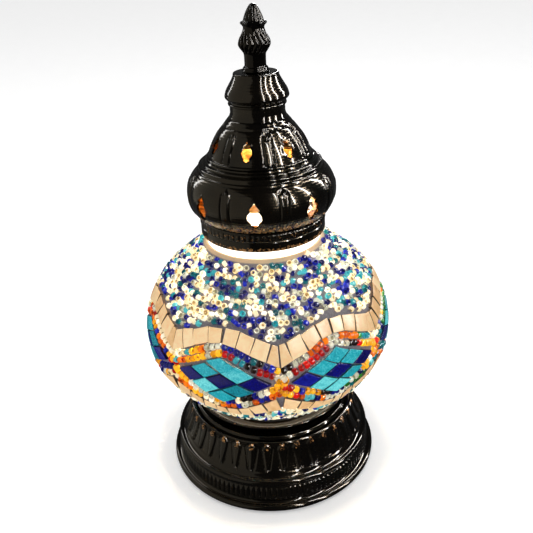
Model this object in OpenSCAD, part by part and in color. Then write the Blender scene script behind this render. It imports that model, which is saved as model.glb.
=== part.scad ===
// Mosaic glass table lamp: spun metal base, mosaic globe lit by a small bulb,
// and a pierced metal cap that lifts off.
// Millimetres, +Z up, origin at the centre of the underside. The front faces -Y.

/* [Overall] */
// Height of the mosaic globe's widest circle above the table
globe_z = 105; // [100:1:110]
// Radius of the mosaic surface at its widest
globe_rad = 79.5; // [76:0.5:82]
// Rise of the mosaic surface above its widest circle, if it closed as an ellipse
globe_rise = 65; // [62:0.5:68]
// Drop of the mosaic surface below its widest circle, if it closed as an ellipse
globe_drop = 57; // [54:0.5:60]

/* [Globe] */
// Thickness of the grout coat
grout_t = 1.2; // [0.8:0.1:1.6]
// Thickness of beads and tiles above the grout
mosaic_t = 2.2; // [1.8:0.1:2.6]
// Wall of the blown glass
glass_t = 2.5; // [2:0.1:3]
// Height of the glass neck's upper edge
neck_top = 181.4; // [180.8:0.1:181.4]
// Outer radius of the glass foot that stands in the cup
foot_rad = 34.6; // [34:0.1:35]
// Height where the mosaic stops under the cap
mosaic_top = 165.5; // [165:0.5:167]
// Height where the mosaic stops above the cup
mosaic_low = 55.5; // [55:0.5:60]

/* [Mosaic] */
// Number of medallions round the globe
medallions = 7; // [5:1:9]
// Turn of the first gap between medallions from the front
first_gap = 4.3; // [-20:0.1:20]
// Height of the medallion centres
medallion_z = 108; // [104:0.5:110]
// Half height of a medallion
medallion_h = 15.6; // [14:0.1:17]
// Half width of a medallion, in degrees
medallion_w = 22.2; // [15:0.1:23]
// Height of the bead border above the medallions
border_h = 8.6; // [7:0.1:10]
// Upper cream band's height at its crests
cream_h = 8; // [6:0.5:10]
// Cream tiles in each leg of the zigzag
leg_tiles = 4; // [3:1:6]

/* [Base] */
// Radius of the rolled rim
rim_rad = 71.5; // [70:0.1:73]
// Height of the base's flat top
base_top = 46.2; // [46:0.1:46.4]
// Thickness of the spun metal
metal_t = 1.1; // [0.9:0.1:1.2]
// Height of the cable inlet
inlet_z = 12; // [11:0.5:13]
// Bore of the cable inlet
inlet_bore = 3.2; // [2.8:0.1:3.4]

/* [Cap] */
// Outer radius of the collar
collar_rad = 38.3; // [38:0.1:39]
// Height of the collar's lower edge
collar_z = 171; // [170:0.5:172]
// Widest radius of the lower dome
dome_rad = 45; // [44:0.5:46]
// Panels round the lower dome, each with one large hole
dome_panels = 8; // [6:1:10]
// Panels round the upper dome, each with one small hole
upper_panels = 7; // [5:1:8]
// Radius of the cap's threaded rod
rod_rad = 3; // [2.5:0.5:3]

/* [Light] */
// Outer radius of the threaded tube through the base
tube_rad = 5; // [4.8:0.1:5]
// Radius of the bulb's ball
bulb_rad = 22.5; // [20:0.5:25]
// Height of the bulb ball's centre
bulb_z = 127; // [126:0.5:129]

/* [Hidden] */
$fn = 96;

pitch = 360 / medallions;
bronze = [0.16, 0.13, 0.10];
brass = [0.80, 0.66, 0.32];
steel = [0.70, 0.71, 0.72];
felt_t = 1.6;
cover_t = 1.2;
cover_top = felt_t + cover_t;
dish_z = 9;
cup_floor = base_top + 1.1;
skirt_top = 23.3;
neck_low = 158;
gasket_t = 1.5;
foot_z = cup_floor + gasket_t;
glass_off = grout_t + mosaic_t;
flange_z = 183.6;
dome_top = 217;
crown_z = 247.4;
crown_top = 265.3;
contact_z = 80;
terminal_y = 38;
terminal_pitch = 10;
neck_flare = 168.5;

// ---- outlines -------------------------------------------------------------

function unit(v) = v / norm(v);

function turned(v) = [-v[1], v[0]];

// Direction across an outline's edge, to the left of its run
function across(a, b) = turned(unit(b - a));

// Mitre at point i, as long as it takes to keep both its edges one unit away
function mitre(p, i) =
  i == 0 ? across(p[0], p[1]) :
  i == len(p) - 1 ? across(p[i - 1], p[i]) :
  let (m = across(p[i - 1], p[i]), n = across(p[i], p[i + 1])) (m + n) / (1 + m * n);

function inset(p, t) = [for (i = [0:len(p) - 1]) p[i] + t * mitre(p, i)];

function reversed(p) = [for (i = [len(p) - 1:-1:0]) p[i]];

function arc(c, r, a0, a1, n) = [for (i = [0:n]) let (a = a0 + (a1 - a0) * i / n) c + r * [cos(a), sin(a)]];

// A spun shell of even thickness inside an outline that runs upwards
module spun(p, t) {
  rotate_extrude() polygon(concat(p, reversed(inset(p, t))));
}

module ring(outer, inner, z, h) {
  translate([0, 0, z]) difference() {
    cylinder(h = h, r = outer);
    translate([0, 0, -1]) cylinder(h = h + 2, r = inner);
  }
}

module hex_nut(across_flats, bore, z, h) {
  translate([0, 0, z]) difference() {
    cylinder(h = h, r = across_flats / sqrt(3), $fn = 6);
    translate([0, 0, -1]) cylinder(h = h + 2, r = bore);
  }
}

// A round wire through a list of points, with slightly fuller bends
module wire(p, r) {
  for (i = [0:len(p) - 2]) {
    d = p[i + 1] - p[i];
    translate(p[i])
      rotate([0, acos(d[2] / norm(d)), atan2(d[1], d[0])])
        cylinder(h = norm(d), r = r, $fn = 32);
  }
  for (i = [1:len(p) - 2]) translate(p[i]) sphere(r = r * 1.15, $fn = 32);
}

// ---- the globe's surface --------------------------------------------------

// The mosaic's face from its foot to its neck: two ellipses, then a flare into the neck
flare_z = globe_z + 50;
globe_face = concat(
  [for (a = [-62:4:-2]) [globe_rad * cos(a), globe_z + globe_drop * sin(a)]],
  [for (a = [0:4:48]) [globe_rad * cos(a), globe_z + globe_rise * sin(a)]],
  [for (z = [flare_z:1.5:neck_flare]) [37.6 + 0.277 * pow(neck_flare - z, 1.5), z]],
  [[37.5, neck_flare + 3.5], [37.5, neck_flare + 6]]);

// Heights and radii of the surface lying `off` inside the mosaic's face, for lookup()
function surface_table(off) = [for (p = inset(globe_face, off)) [p[1], p[0]]];

face_table = surface_table(0);
glass_table = surface_table(glass_off);

// Radius at height z, `off` inside the mosaic's face
function globe_r(z, off) =
  let (r = lookup(z, face_table)) r + (lookup(z, glass_table) - r) * off / glass_off;

// Longitude 0 faces the front and grows towards +X
function on_globe(a, z, off) = [globe_r(z, off) * sin(a), -globe_r(z, off) * cos(a), z];

// The zigzag: 0 in the gaps between medallions and 1 over their middles
function wave(a) = let (f = (a - first_gap) / pitch) 1 - abs(2 * (f - floor(f)) - 1);

function field_top(a) = medallion_z + medallion_h * wave(a);
function field_low(a) = medallion_z - medallion_h * wave(a);
function cream_low(a) = field_top(a) + border_h;
function cream_top(a) = cream_low(a) + cream_h + (1 - wave(a)) * cream_h * 0.62;
function lower_top(a) = field_low(a) - border_h;
function lower_low(a) = lower_top(a) - cream_h * 0.9 - (1 - wave(a)) * cream_h * 0.5;

// A band of the mosaic between heights lo(a) and hi(a), as a closed shell
module band(lo, hi) {
  na = 12 * medallions;
  nz = 5;
  angles = [for (i = [0:na - 1]) first_gap + 360 * i / na];
  face = [for (a = angles) for (j = [0:nz]) on_globe(a, lo(a) + (hi(a) - lo(a)) * j / nz, 0)];
  back_off = mosaic_t - 0.25;
  back = [for (a = angles) for (j = [0:nz]) on_globe(a, lo(a) + (hi(a) - lo(a)) * j / nz, back_off)];
  row = nz + 1;
  n = na * row;
  sides = [for (i = [0:na - 1]) for (j = [0:nz - 1])
    [i * row + j, i * row + j + 1, (i + 1) % na * row + j + 1, (i + 1) % na * row + j]];
  lower = [for (i = [0:na - 1]) [i * row, (i + 1) % na * row, n + (i + 1) % na * row, n + i * row]];
  upper = [for (i = [0:na - 1])
    [i * row + nz, n + i * row + nz, n + (i + 1) % na * row + nz, (i + 1) % na * row + nz]];
  quads = concat(sides, [for (q = sides) [n + q[3], n + q[2], n + q[1], n + q[0]]], lower, upper);
  faces = [for (q = quads) for (k = [0, 1]) [q[0], q[k + 1], q[k + 2]]];
  polyhedron(points = concat(face, back), faces = faces);
}

// A flat tile through four [longitude, height] corners, clear of the grout under its middle
module tile(corners, joint, lift) {
  mid = (corners[0] + corners[1] + corners[2] + corners[3]) / 4;
  cut = [for (c = corners) mid + (c - mid) * (1 - joint)];
  face = [for (c = cut) on_globe(c[0], c[1], -0.1)];
  back = [for (c = cut) on_globe(c[0], c[1], mosaic_t - lift)];
  polyhedron(points = concat(face, back), faces = [[0, 3, 2], [0, 2, 1], [4, 5, 6], [4, 6, 7],
    [0, 1, 5], [0, 5, 4], [1, 2, 6], [1, 6, 5], [2, 3, 7], [2, 7, 6], [3, 0, 4], [3, 4, 7]]);
}

// Tiles [i, j] of the 3 by 3 medallions for which i equals j or not
module medallion_tiles(on_diagonal) {
  half_a = medallion_w / 3;
  half_z = medallion_h / 3;
  for (m = [0:medallions - 1]) for (i = [-1:1]) for (j = [-1:1]) {
    a = first_gap + pitch * (m + 0.5) + (i + j) * half_a;
    z = medallion_z + (i - j) * half_z;
    if ((i == j) == on_diagonal)
      tile([[a - half_a, z], [a, z - half_z], [a + half_a, z], [a, z + half_z]], 0.07, 0.9);
  }
}

module cream_tiles(lo, hi) {
  step = pitch / leg_tiles / 2;
  for (k = [0:medallions * leg_tiles * 2 - 1]) {
    a0 = first_gap + k * step;
    a1 = a0 + step;
    tile([[a0, lo(a0)], [a1, lo(a1)], [a1, hi(a1)], [a0, hi(a0)]], 0.07, 0.6);
  }
}

// ---- base -----------------------------------------------------------------

module felt_pad() {
  color([0.12, 0.15, 0.12]) cylinder(h = felt_t, r = 67);
}

module base_cover() {
  dish_top = dish_z + cover_t;
  outline = [[67.4, felt_t], [67.4, cover_top], [22, cover_top], [15, dish_top], [tube_rad + 0.2, dish_top],
    [tube_rad + 0.2, dish_z], [14.4, dish_z], [21.4, felt_t]];
  color(steel) difference() {
    rotate_extrude() polygon(outline);
    translate([26, 16, 0]) cylinder(h = 6, r = 1.5);
    translate([0, terminal_y, 0]) cylinder(h = 6, r = 1.5);
  }
}

// Outline of the base: rolled rim, ribbed band, step ring, waisted dome and flat top
base_outline = concat(
  [[65, cover_top], [67.7, cover_top], [68.1, 1.5]],
  arc([69.3, 2.9], rim_rad - 69.3, -90, 80, 8),
  [[67.6, 5.6], [67, 7], [66.4, 17], [66.7, 18.2], [66.1, 22], [63, 22.7], [62.5, 23.6]],
  [for (i = [1:7]) let (f = i / 7) [62.5 - 6 * sin(90 * f), 23.6 + 21 * f]],
  [[55.4, 45.6], [50, base_top], [tube_rad + 0.2, base_top]]);

// The base is one spun piece: its skirt and its dome are two nodes that meet at skirt_top
module base_slice(lo, hi) {
  intersection() {
    spun(base_outline, metal_t);
    translate([0, 0, lo]) cylinder(h = hi - lo, r = 90);
  }
}

module base_skirt() {
  color(bronze) difference() {
    base_slice(0, skirt_top);
    translate([0, 60, inlet_z]) rotate([-90, 0, 0]) cylinder(h = 12, r = 4.6);
  }
}

module base_shell() {
  color(bronze) base_slice(skirt_top, 60);
}

// Grommet in the back wall for the cable
module inlet_bush() {
  color([0.1, 0.1, 0.1]) translate([0, 0, inlet_z]) rotate([-90, 0, 0]) difference() {
    union() {
      translate([0, 0, 62]) cylinder(h = 7.6, r = 4.5);
      translate([0, 0, 67.4]) cylinder(h = 1.7, r = 6);
      translate([0, 0, 62]) cylinder(h = 2.4, r = 5.4);
    }
    translate([0, 0, 60]) cylinder(h = 12, r = inlet_bore);
  }
}

module threaded_tube() {
  color(brass) difference() {
    ring(tube_rad, tube_rad - 1.4, 3.8, 62.2);
    translate([0, 0, 22]) rotate([-90, 0, 0]) cylinder(h = 12, r = 3);
  }
}

module tube_nut() {
  color(steel) hex_nut(14, tube_rad, 4.2, 4);
}

module tube_washer() {
  color(steel) ring(9, tube_rad + 0.3, 8.2, 0.8);
}

module globe_cup() {
  outline = concat([[tube_rad + 0.2, base_top + 0.05], [42, base_top + 0.05]],
    [for (i = [1:6]) let (f = i / 6) [42 + 9.6 * sin(90 * f), base_top + 0.05 + 6.2 * (1 - cos(90 * f))]],
    [[52, 53.6]]);
  color(bronze) spun(outline, 1);
}

module cup_washer() {
  color(steel) ring(16, tube_rad + 0.3, cup_floor, 1);
}

module cup_nut() {
  color(steel) hex_nut(14, tube_rad, cup_floor + 1, 4);
}

module cup_gasket() {
  color([0.2, 0.2, 0.2]) ring(foot_rad + 3.4, foot_rad - 3.1, cup_floor, gasket_t);
}

// Bead of clear silicone that bonds the glass foot into the cup
module globe_seal() {
  color([0.8, 0.8, 0.78]) rotate_extrude()
    polygon([[foot_rad, foot_z], [foot_rad + 3.2, foot_z], [foot_rad + 2.4, foot_z + 0.8],
      [foot_rad, foot_z + 3]]);
}

// ---- lampholder and wiring --------------------------------------------------

module holder_locknut() {
  color(steel) hex_nut(14, tube_rad, 53, 4);
}

module holder_cap() {
  color([0.08, 0.08, 0.08]) rotate_extrude()
    polygon([[tube_rad, 57], [11, 57], [13.6, 60], [13.6, 70], [12.2, 70], [12.2, 60.6], [10.4, 58.6],
      [tube_rad, 58.6]]);
}

module holder_core() {
  color([0.92, 0.91, 0.88]) difference() {
    union() {
      translate([0, 0, 70]) cylinder(h = 7, r = 12);
      ring(12, 8, 76.9, 3.1);
    }
    for (s = [-1, 1]) translate([s * 6, 0, 69]) cylinder(h = 4, r = 1.5);
  }
}

module holder_sleeve() {
  color([0.08, 0.08, 0.08]) rotate_extrude()
    polygon([[12.3, 70.2], [13.6, 70.2], [13.6, 96], [12.6, 98], [8.8, 98], [8.8, 96.8], [12, 96.8],
      [12.3, 96]]);
}

module screw_shell() {
  color(brass) difference() {
    union() {
      ring(7.8, 7.3, contact_z - 2, 17);
      for (k = [0:4]) ring(8, 7.3, contact_z + 3 + k * 2.8, 1.2);
    }
    translate([0, 0, contact_z - 2.5]) cylinder(h = 18, r = 7.3);
  }
}

module centre_contact() {
  color(brass) {
    translate([-6, -2, 77]) cube([9, 4, 0.5]);
    translate([0, 0, 77.5]) cylinder(h = contact_z - 77.6, r = 2);
  }
}

module holder_screws() {
  color(brass) for (s = [-1, 1]) translate([s * 6, 0, 68.8]) {
    cylinder(h = 1.2, r = 2.2);
    translate([0, 0, 1]) cylinder(h = 2.6, r = 1.4);
  }
}

module live_lead() {
  color([0.45, 0.25, 0.12])
    wire([[-terminal_pitch, 30, 8], [-8, 20, 14], [-1.4, 8, 22], [-1.4, 1, 23.5], [-1.4, 0.2, 66.5],
      [-4.6, 0, 68]], 0.7);
}

module neutral_lead() {
  color([0.15, 0.3, 0.7])
    wire([[0, 30, 8], [2, 20, 14], [1.4, 8, 22], [1.4, 1, 23.5], [1.4, 0.2, 66.5], [4.6, 0, 68]], 0.7);
}

module earth_lead() {
  color([0.35, 0.6, 0.2])
    wire([[terminal_pitch, 30, 8], [terminal_pitch, 16, 8], [21.4, 16, 8], [21.4, 16, cover_top + 0.8]], 0.7);
}

module earth_tag() {
  color(brass) difference() {
    union() {
      translate([26, 16, cover_top]) cylinder(h = 0.8, r = 3.4);
      translate([20, 14.5, cover_top]) cube([6, 3, 0.8]);
    }
    translate([26, 16, 0]) cylinder(h = 6, r = 1.6);
  }
}

module earth_screw() {
  color(steel) translate([26, 16, felt_t]) {
    cylinder(h = 2.2, r = 1.5);
    translate([0, 0, 2]) cylinder(h = 2, r = 2.8);
  }
}

module terminal_block() {
  color([0.85, 0.85, 0.82]) difference() {
    translate([-15, terminal_y - 8, cover_top]) cube([30, 16, 11]);
    for (k = [-1:1]) {
      translate([k * terminal_pitch, terminal_y - 9, 8]) rotate([-90, 0, 0]) cylinder(h = 18, r = 2.4);
      for (s = [-1, 1]) translate([k * terminal_pitch, terminal_y + s * 4, 9]) cylinder(h = 6, r = 1.7);
    }
    translate([terminal_pitch / 2, terminal_y, 0]) cylinder(h = 20, r = 1.5);
  }
}

module terminal_sleeves() {
  color(brass) for (k = [-1:1])
    translate([k * terminal_pitch, terminal_y - 7, 8]) rotate([-90, 0, 0]) difference() {
      cylinder(h = 14, r = 2.4);
      translate([0, 0, -1]) cylinder(h = 16, r = 1.4);
      for (s = [-1, 1]) translate([0, 0, 7 + s * 4]) rotate([90, 0, 0]) cylinder(h = 4, r = 1.2);
    }
}

module terminal_screws() {
  color(steel) for (k = [-1:1]) for (s = [-1, 1])
    translate([k * terminal_pitch, terminal_y + s * 4, 9.8]) {
      cylinder(h = 3.2, r = 1.15);
      translate([0, 0, 1]) cylinder(h = 2.4, r = 1.65);
    }
}

module block_screw() {
  color(steel) translate([terminal_pitch / 2, terminal_y, cover_top + 0.05]) {
    cylinder(h = 11, r = 1.45);
    translate([0, 0, 10.95]) cylinder(h = 1.6, r = 2.6);
  }
}

// ---- globe and mosaic -------------------------------------------------------

// The globe is one blown piece: its bowl, shoulder and neck are three nodes that meet at globe_z and neck_low
module glass_slice(lo, hi) {
  bowl = [for (p = inset(globe_face, glass_off)) if (p[0] > foot_rad || p[1] > globe_z) p];
  neck = bowl[len(bowl) - 1][0];
  outer = concat([[foot_rad, foot_z], [foot_rad, bowl[0][1] - 0.6]], bowl, [[neck, neck_top]]);
  inner = [for (p = inset(outer, glass_t)) [p[0], min(neck_top, max(foot_z, p[1]))]];
  color([0.9, 0.93, 0.95, 0.5]) intersection() {
    rotate_extrude() polygon(concat(outer, reversed(inner)));
    translate([0, 0, lo]) cylinder(h = hi - lo, r = 90);
  }
}

module glass_globe() {
  glass_slice(0, globe_z);
}

module glass_shoulder() {
  glass_slice(globe_z, neck_low);
}

module glass_neck() {
  glass_slice(neck_low, 200);
}

module grout() {
  steps = [for (i = [0:28]) mosaic_low + (mosaic_top - mosaic_low) * (1 - cos(180 * i / 28)) / 2];
  face = [for (z = steps) [globe_r(z, mosaic_t), z]];
  back = [for (z = steps) [max(z < globe_z ? foot_rad : 0, globe_r(z, glass_off - 0.2)), z]];
  color([0.62, 0.58, 0.6]) rotate_extrude() polygon(concat(face, reversed(back)));
}

module crown_beads() {
  color([0.75, 0.85, 0.88]) band(function (a) cream_top(a) + 0.1, function (a) mosaic_top - 0.5);
}

module cream_tiles_upper() {
  color([0.95, 0.85, 0.7]) cream_tiles(function (a) cream_low(a), function (a) cream_top(a));
}

module border_beads_upper() {
  color([0.85, 0.5, 0.15]) band(function (a) field_top(a) + 0.1, function (a) cream_low(a) - 0.1);
}

module turquoise_tiles() {
  color([0.2, 0.65, 0.72]) medallion_tiles(false);
}

module cobalt_tiles() {
  color([0.08, 0.15, 0.5]) medallion_tiles(true);
}

module border_beads_lower() {
  color([0.85, 0.5, 0.15]) band(function (a) lower_top(a) + 0.1, function (a) field_low(a) - 0.3);
}

module cream_tiles_lower() {
  color([0.95, 0.85, 0.7]) cream_tiles(function (a) lower_low(a), function (a) lower_top(a));
}

module foot_beads() {
  color([0.75, 0.85, 0.88]) band(function (a) mosaic_low + 0.5, function (a) lower_low(a) - 0.1);
}

// ---- bulb -------------------------------------------------------------------

module bulb_envelope() {
  ball = arc([0, bulb_z], bulb_rad, -66, 89.9, 26);
  outline = concat([[6.4, 96.5], [6.4, 103], [6.8, 104.5]], ball);
  wall = concat([[5.6, 96.5], [5.6, 103], [6, 104.6]], arc([0, bulb_z], bulb_rad - 0.8, -66, 89.9, 26));
  color([0.97, 0.97, 0.95, 0.6]) rotate_extrude()
    polygon(concat(outline, [[0, bulb_z + bulb_rad], [0, bulb_z + bulb_rad - 0.8]], reversed(wall)));
}

module bulb_cap() {
  color([0.75, 0.72, 0.65]) {
    ring(6.8, 6.45, 85, 16);
    for (k = [0:4]) ring(6.98, 6.7, 87 + k * 2.8, 1.2);
    ring(6.8, 5, 84.5, 0.8);
  }
}

module bulb_insulator() {
  color([0.1, 0.1, 0.12]) translate([0, 0, 81.6]) cylinder(h = 2.9, r1 = 2.6, r2 = 6);
}

module bulb_contact() {
  color([0.7, 0.7, 0.68]) translate([0, 0, contact_z + 0.3]) cylinder(h = 1.3, r1 = 1.6, r2 = 2.5);
}

module bulb_stem() {
  color([0.9, 0.93, 0.95]) rotate_extrude()
    polygon([[0, 99], [5.5, 99], [5.5, 100.5], [2.6, 105], [2.2, 116], [1.2, 117], [1.2, 133], [0, 133.6]]);
}

// Four upright glowing filaments round the stem, with their carrier wires
module bulb_filaments() {
  color([1, 0.85, 0.5]) for (k = [0:3]) rotate([0, 0, 45 + 90 * k]) {
    wire([[2.7, 0, 112], [4.4, 0, 114], [4.4, 0, 117]], 0.25);
    translate([4.4, 0, 117]) cylinder(h = 18, r = 0.9, $fn = 24);
    wire([[4.4, 0, 134.9], [4.4, 0, 136], [1.55, 0, 132.4]], 0.25);
  }
}

// ---- cap --------------------------------------------------------------------

module cap_collar() {
  outline = [[collar_rad - 0.6, collar_z], [collar_rad, collar_z + 1.2], [collar_rad, collar_z + 5.6],
    [collar_rad + 0.3, collar_z + 6.2], [collar_rad + 0.3, collar_z + 10], [collar_rad, collar_z + 10.6],
    [collar_rad, flange_z], [30, flange_z]];
  color(bronze) spun(outline, 0.9);
}

// Hole shape: a round belly with a pointed top and foot
module pierced(w, h, z, rad, count, turn) {
  for (k = [0:count - 1]) rotate([0, 0, turn + 360 * k / count]) translate([0, -rad - 6, z])
    rotate([90, 0, 180]) linear_extrude(height = 14, center = false) {
      circle(r = w / 2);
      polygon(w * [[-0.42, 0.2], [-0.3, 0.6], [0, h / w / 2], [0.3, 0.6], [0.42, 0.2]]);
      polygon(w * [[-0.42, -0.2], [0, -h / w / 2], [0.42, -0.2]]);
    }
}

module cap_lower_dome() {
  outline = concat([[31, flange_z]], arc([dome_rad - 17.9, 196.5], 17.9, -46, 49, 14),
    [[36.8, 211.6], [36, 213.2], [33.8, 214], [33.2, 215.6], [31.4, 216.2], [31, dome_top], [24, dome_top]]);
  color(bronze) difference() {
    spun(outline, metal_t);
    pierced(8.2, 15.8, 195.6, dome_rad - 3, dome_panels, -6);
  }
}

module cap_upper_dome() {
  outline = concat([[24, dome_top + 0.05], [31.2, dome_top + 0.05]],
    [for (i = [0:10]) let (f = i / 10) [30.4 - 12.6 * f + 1.5 * sin(180 * f), dome_top + 2.2 + 20.4 * f]],
    [[16.6, 241], [15.9, 243.4], [15.9, crown_z], [8, crown_z]]);
  color(bronze) difference() {
    spun(outline, metal_t);
    pierced(6, 11, 227, 25, upper_panels, -15.7);
  }
}

module cap_crown() {
  outline = [[8, crown_z + 0.05], [16.4, crown_z + 0.05], [16.8, 249], [16.3, 250], [18, 250.8],
    [18.5, 252.4], [18, 254.6], [16.1, 258], [14.1, 261], [12.9, 263.4], [12.5, crown_top],
    [rod_rad + 0.2, crown_top]];
  color(bronze) spun(outline, metal_t);
}

module cap_bridge() {
  color(steel) difference() {
    intersection() {
      translate([-40, -7, flange_z - 2.1]) cube([80, 14, 1.2]);
      cylinder(h = 200, r = 33.4);
    }
    translate([0, 0, 170]) cylinder(h = 20, r = rod_rad + 0.2);
  }
}

module cap_rod() {
  color(steel) translate([0, 0, 174]) cylinder(h = 99, r = rod_rad);
}

module cap_nut() {
  color(steel) hex_nut(10, rod_rad, 175.8, 4.9);
}

module cap_washer() {
  color(steel) ring(6.5, rod_rad + 0.2, 180.7, 0.8);
}

module neck_gasket() {
  color([0.25, 0.25, 0.24]) ring(36.8, 34.2, neck_top + 0.05, flange_z - 0.9 - neck_top - 0.05);
}

module finial() {
  low = crown_top + 0.1;
  outline = concat([[0, low], [8.8, low], [8.6, low + 1.4], [6.4, 268.4], [6.1, 270], [6.1, 275]],
    [for (i = [1:7]) let (f = i / 8) [6.1 + 2.7 * sin(180 * f), 275 + 12 * f]],
    [[6.1, 287.2], [6.4, 289], [7.2, 291.2], [5.8, 292]],
    [for (i = [1:6]) let (f = i / 6) [5.8 * (1 - f * f), 292 + 10 * f]]);
  color(bronze) difference() {
    rotate_extrude() polygon(outline);
    translate([0, 0, low - 1]) cylinder(h = 9.4, r = rod_rad + 0.05);
  }
}

felt_pad();
base_cover();
base_skirt();
base_shell();
inlet_bush();
threaded_tube();
tube_nut();
tube_washer();
globe_cup();
cup_washer();
cup_nut();
cup_gasket();
globe_seal();
holder_locknut();
holder_cap();
holder_core();
holder_sleeve();
screw_shell();
centre_contact();
holder_screws();
live_lead();
neutral_lead();
earth_lead();
earth_tag();
earth_screw();
terminal_block();
terminal_sleeves();
terminal_screws();
block_screw();
glass_globe();
glass_shoulder();
glass_neck();
grout();
crown_beads();
cream_tiles_upper();
border_beads_upper();
turquoise_tiles();
cobalt_tiles();
border_beads_lower();
cream_tiles_lower();
foot_beads();
bulb_envelope();
bulb_cap();
bulb_insulator();
bulb_contact();
bulb_stem();
bulb_filaments();
cap_collar();
cap_lower_dome();
cap_upper_dome();
cap_crown();
cap_bridge();
cap_rod();
cap_nut();
cap_washer();
neck_gasket();
finial();
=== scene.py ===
"""Mosaic glass table lamp: the visible skin of the lamp, laid out as a Blender add-on and run as a script.

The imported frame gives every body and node. The pieces here stand for the nodes whose surface needs more
than the frame holds: seed beads, tiles, gadroons, ribs and pierced panels. Metres, +Z up, front towards -Y.
"""

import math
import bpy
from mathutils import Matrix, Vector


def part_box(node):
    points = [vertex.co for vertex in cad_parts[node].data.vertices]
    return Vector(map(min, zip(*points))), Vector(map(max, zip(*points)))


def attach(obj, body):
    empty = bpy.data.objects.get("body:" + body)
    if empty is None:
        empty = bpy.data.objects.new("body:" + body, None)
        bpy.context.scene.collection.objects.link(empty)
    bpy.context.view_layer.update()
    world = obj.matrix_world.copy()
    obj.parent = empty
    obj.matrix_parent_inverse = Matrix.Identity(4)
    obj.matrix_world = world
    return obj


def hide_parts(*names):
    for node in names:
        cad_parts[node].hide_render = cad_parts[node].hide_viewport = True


bl_info = {
    "name": "Mosaic Glass Table Lamp",
    "version": (1, 0, 0),
    "blender": (4, 5, 0),
    "location": "View3D > Sidebar > Lamp",
    "description": "Builds a bead and tile mosaic globe lamp with a pierced brass cap",
    "category": "Object",
}

import bmesh
import bpy
import numpy as np
from bpy.props import FloatProperty, FloatVectorProperty, IntProperty, PointerProperty
from bpy.types import Operator, Panel, PropertyGroup
from mathutils import Matrix, Vector

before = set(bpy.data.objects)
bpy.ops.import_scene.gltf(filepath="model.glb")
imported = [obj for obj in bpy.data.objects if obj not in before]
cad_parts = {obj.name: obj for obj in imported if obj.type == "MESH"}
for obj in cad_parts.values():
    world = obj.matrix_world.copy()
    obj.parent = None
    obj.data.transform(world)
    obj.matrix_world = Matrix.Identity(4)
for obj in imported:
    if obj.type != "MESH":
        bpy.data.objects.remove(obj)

MM = 0.001
TAU = 2.0 * math.pi
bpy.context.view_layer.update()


def linear(code):
    """sRGB hex code to linear RGBA: c/12.92 below 0.04045, else ((c + 0.055)/1.055)^2.4."""
    srgb = [int(code[i:i + 2], 16) / 255.0 for i in (1, 3, 5)]
    return tuple(c / 12.92 if c <= 0.04045 else ((c + 0.055) / 1.055) ** 2.4 for c in srgb) + (1.0,)


# ---- properties ------------------------------------------------------------------------------------


class LampGlobe(PropertyGroup):
    """Sizes of the mosaic globe"""

    rad: FloatProperty(name="Radius", description="Mosaic face at its widest", default=79.5 * MM,
                       unit="LENGTH")
    rise: FloatProperty(name="Rise", description="Upper ellipse's half height", default=65 * MM,
                        unit="LENGTH")
    drop: FloatProperty(name="Drop", description="Lower ellipse's half height", default=57 * MM,
                        unit="LENGTH")
    mid: FloatProperty(name="Middle", description="Height of the widest circle", default=105 * MM,
                       unit="LENGTH")
    neck: FloatProperty(name="Neck", description="Radius where the mosaic ends", default=37.6 * MM,
                        unit="LENGTH")
    field_mid: FloatProperty(name="Medallion middle", description="Height of the medallions' centres",
                             default=108 * MM, unit="LENGTH")
    field_half: FloatProperty(name="Medallion half height", description="Centre to top corner",
                              default=15.6 * MM, unit="LENGTH")
    field_turn: FloatProperty(name="Medallion half width", description="Centre to side corner",
                              default=math.radians(22.2), subtype="ANGLE")
    border: FloatProperty(name="Border", description="Height of the bead border", default=8.6 * MM,
                          unit="LENGTH")
    cream: FloatProperty(name="Cream band", description="Height of the cream band at its crests",
                         default=8 * MM, unit="LENGTH")
    bead: FloatProperty(name="Bead", description="Outer diameter of a seed bead", default=3.7 * MM,
                        unit="LENGTH")
    medallions: IntProperty(name="Medallions", description="Medallions round the globe", default=7)
    turn: FloatProperty(name="Turn", description="Longitude of the first gap between medallions",
                        default=math.radians(4.3), subtype="ANGLE")


class LampMetal(PropertyGroup):
    """Counts and colours of the metalwork"""

    ribs: IntProperty(name="Base ribs", description="Ribs round the base's band", default=120)
    gadroons: IntProperty(name="Gadroons", description="Lobes round the base's dome", default=36)
    collar_ribs: IntProperty(name="Collar ribs", description="Ribs round the cap's collar", default=68)
    lower_panels: IntProperty(name="Lower panels", description="Holes round the lower dome", default=8)
    upper_panels: IntProperty(name="Upper panels", description="Holes round the upper dome", default=7)
    worn: FloatVectorProperty(name="Worn metal", description="Rubbed edges", subtype="COLOR", size=3,
                              default=linear("#a8743a")[:3], min=0.0, max=1.0)


class LampLight(PropertyGroup):
    """The lit bulb"""

    power: FloatProperty(name="Power", description="Power of the bulb's light", default=3.0, unit="POWER")
    warmth: FloatVectorProperty(name="Warmth", description="Colour of the bulb's light", subtype="COLOR",
                                size=3, default=linear("#ffe9c8")[:3], min=0.0, max=1.0)


# ---- mesh helpers ----------------------------------------------------------------------------------


def grid_faces(rows, columns, close_rows=False):
    """Quads of a rows x columns grid of points numbered row by row, closed round its columns."""
    i = np.arange(rows if close_rows else rows - 1)[:, None]
    j = np.arange(columns)[None, :]
    i2, j2 = (i + 1) % rows, (j + 1) % columns
    quads = np.stack([i * columns + j, i * columns + j2, i2 * columns + j2, i2 * columns + j], axis=-1)
    return quads.reshape(-1, 4)


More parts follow.
